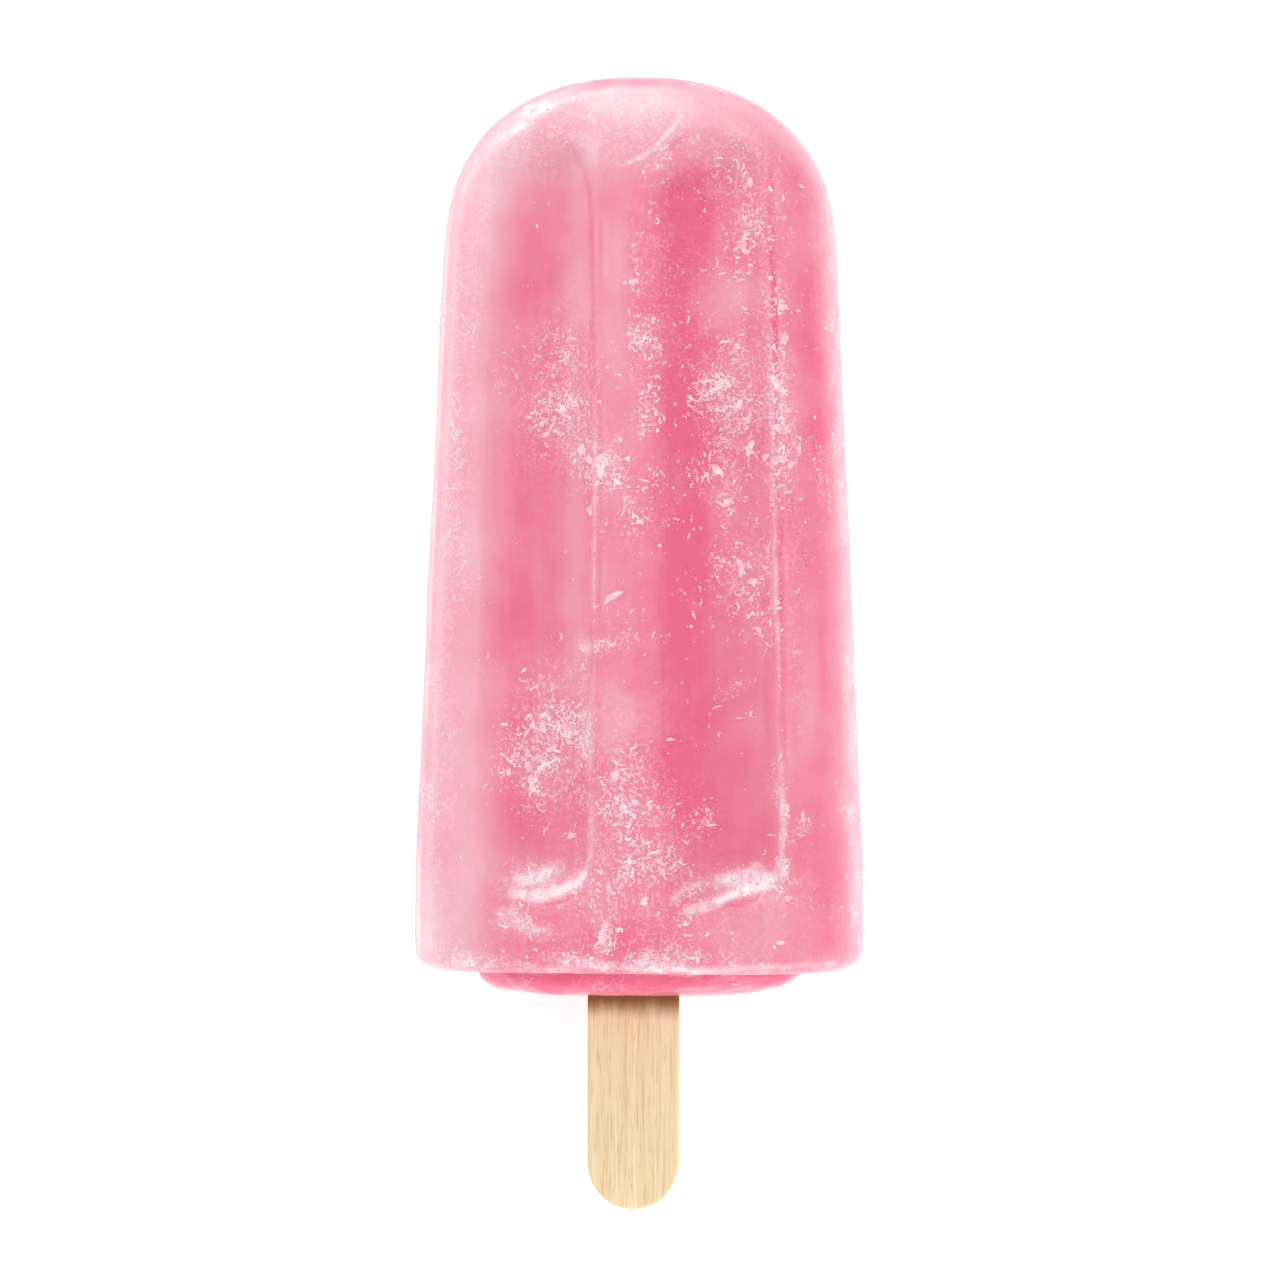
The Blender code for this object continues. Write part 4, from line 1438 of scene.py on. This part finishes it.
@dataclass(frozen=True)
class Studio:
    """Pale floor, soft white light from the upper left and a camera that looks down on the bar."""

    lens: float = 135.0
    sensor: float = 36.0
    frame_span: float = 0.1402
    yaw: float = 4.0
    aim: tuple[float, float] = (0.0001, 0.0004)
    world_strength: float = 0.835
    key_power: float = 0.92
    fill_power: float = 0.92

    def build(self, mould: Mould) -> None:
        """Make the floor, the lamps, the world and the camera."""
        self.floor()
        self.world()
        self.lamp("key", (-0.26, 0.50, 0.22), (0.12, 0.12), self.key_power)
        self.lamp("fill", (0.30, -0.40, 0.25), (0.40, 0.40), self.fill_power)
        self.camera(mould)
        scene = bpy.context.scene
        scene.view_settings.view_transform = "Standard"
        scene.view_settings.look = "None"

    def floor(self) -> None:
        """A wide plain floor just under the bar, which glows faintly so that shadows stay soft."""
        half, drop = 3.0, -0.00005
        corners = [(x * half, y * half, drop) for x, y in ((-1, -1), (1, -1), (1, 1), (-1, 1))]
        mesh = bpy.data.meshes.new("floor")
        mesh.from_pydata(corners, [], [(0, 1, 2, 3)])
        material, graph, shader = principled("floor_paper")
        graph.feed(shader, {
            "Base Color": (0.86, 0.86, 0.86, 1.0), "Roughness": 0.9, "Specular IOR Level": 0.0,
            "Emission Color": WHITE, "Emission Strength": 0.4,
        })
        mesh.materials.append(material)
        floor = bpy.data.objects.new("floor", mesh)
        link(floor)

    def world(self) -> None:
        """An even white surround."""
        world = bpy.data.worlds.new("surround")
        world.use_nodes = True
        background = world.node_tree.nodes["Background"]
        background.inputs["Color"].default_value = WHITE
        background.inputs["Strength"].default_value = self.world_strength
        bpy.context.scene.world = world

    def lamp(self, name: str, place: tuple[float, ...], size: tuple[float, float], power: float) -> None:
        """A white area lamp aimed at the middle of the bar, its first size upright along Y."""
        data = bpy.data.lights.new(name, "AREA")
        data.shape = "RECTANGLE"
        data.size, data.size_y = size[1], size[0]
        data.energy = power
        lamp = bpy.data.objects.new(name, data)
        link(lamp)
        aim_at(lamp, np.array(place), np.array([0.0, 0.012, 0.012]))

    def camera(self, mould: Mould) -> None:
        """A long lens square to the bar's middle plane, turned a little to its right side."""
        data = bpy.data.cameras.new("camera")
        data.lens, data.sensor_width = self.lens, self.sensor
        camera = bpy.data.objects.new("camera", data)
        link(camera)
        draft, yaw = math.atan(mould.slope), math.radians(self.yaw)
        gaze = np.array([math.sin(yaw), math.sin(draft) * math.cos(yaw), math.cos(draft) * math.cos(yaw)])
        target = np.array([self.aim[0], self.aim[1], mould.base_half_thickness * MM])
        aim_at(camera, target + gaze * self.frame_span * self.lens / self.sensor, target)
        bpy.context.scene.camera = camera


def aim_at(thing: bpy.types.Object, place: Array, target: Array) -> None:
    """Stand a lamp or camera at place so that its -Z looks at target and its +Y follows the bar."""
    back = place - target
    back = back / np.linalg.norm(back)
    right = np.cross([0.0, 1.0, 0.0], back)
    right = right / np.linalg.norm(right)
    up = np.cross(back, right)
    matrix = np.eye(4)
    matrix[:3, 0], matrix[:3, 1], matrix[:3, 2], matrix[:3, 3] = right, up, back, place
    thing.matrix_world = Matrix(matrix.tolist())


def dress_stick() -> None:
    """Give the CAD stick its wood."""
    low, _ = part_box("ice")
    wood = WoodFinish().make(low[1])
    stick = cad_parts["stick"]
    if not stick.material_slots:
        stick.data.materials.append(None)
    for slot in stick.material_slots:
        slot.material = wood
    log.info("stick: wood on the CAD piece")


def main() -> None:
    """Build the pop's looks in order."""
    logging.basicConfig(level=logging.INFO, format="%(name)s %(message)s")
    mould = Mould()
    skin = IceSkin(mould, Flutes(mould))
    crystals, clouds = crystals_group(), cloudiness_group()
    skin.build(IceFinish().make(crystals, clouds))
    frost = Frost(skin)
    kinds = (
        (frost.build_grains, "grain_frost", FrostFinish(srgb(252, 186, 202))),
        (frost.build_curls, "curl_frost", FrostFinish(srgb(253, 190, 205))),
        (frost.build_flakes, "flake_frost", FrostFinish(srgb(253, 190, 206), srgb(255, 222, 230))),
    )
    for build, name, finish in kinds:
        build(finish.make(name, crystals, clouds))
    dress_stick()
    Studio().build(mould)


if __name__ == "__main__":
    main()
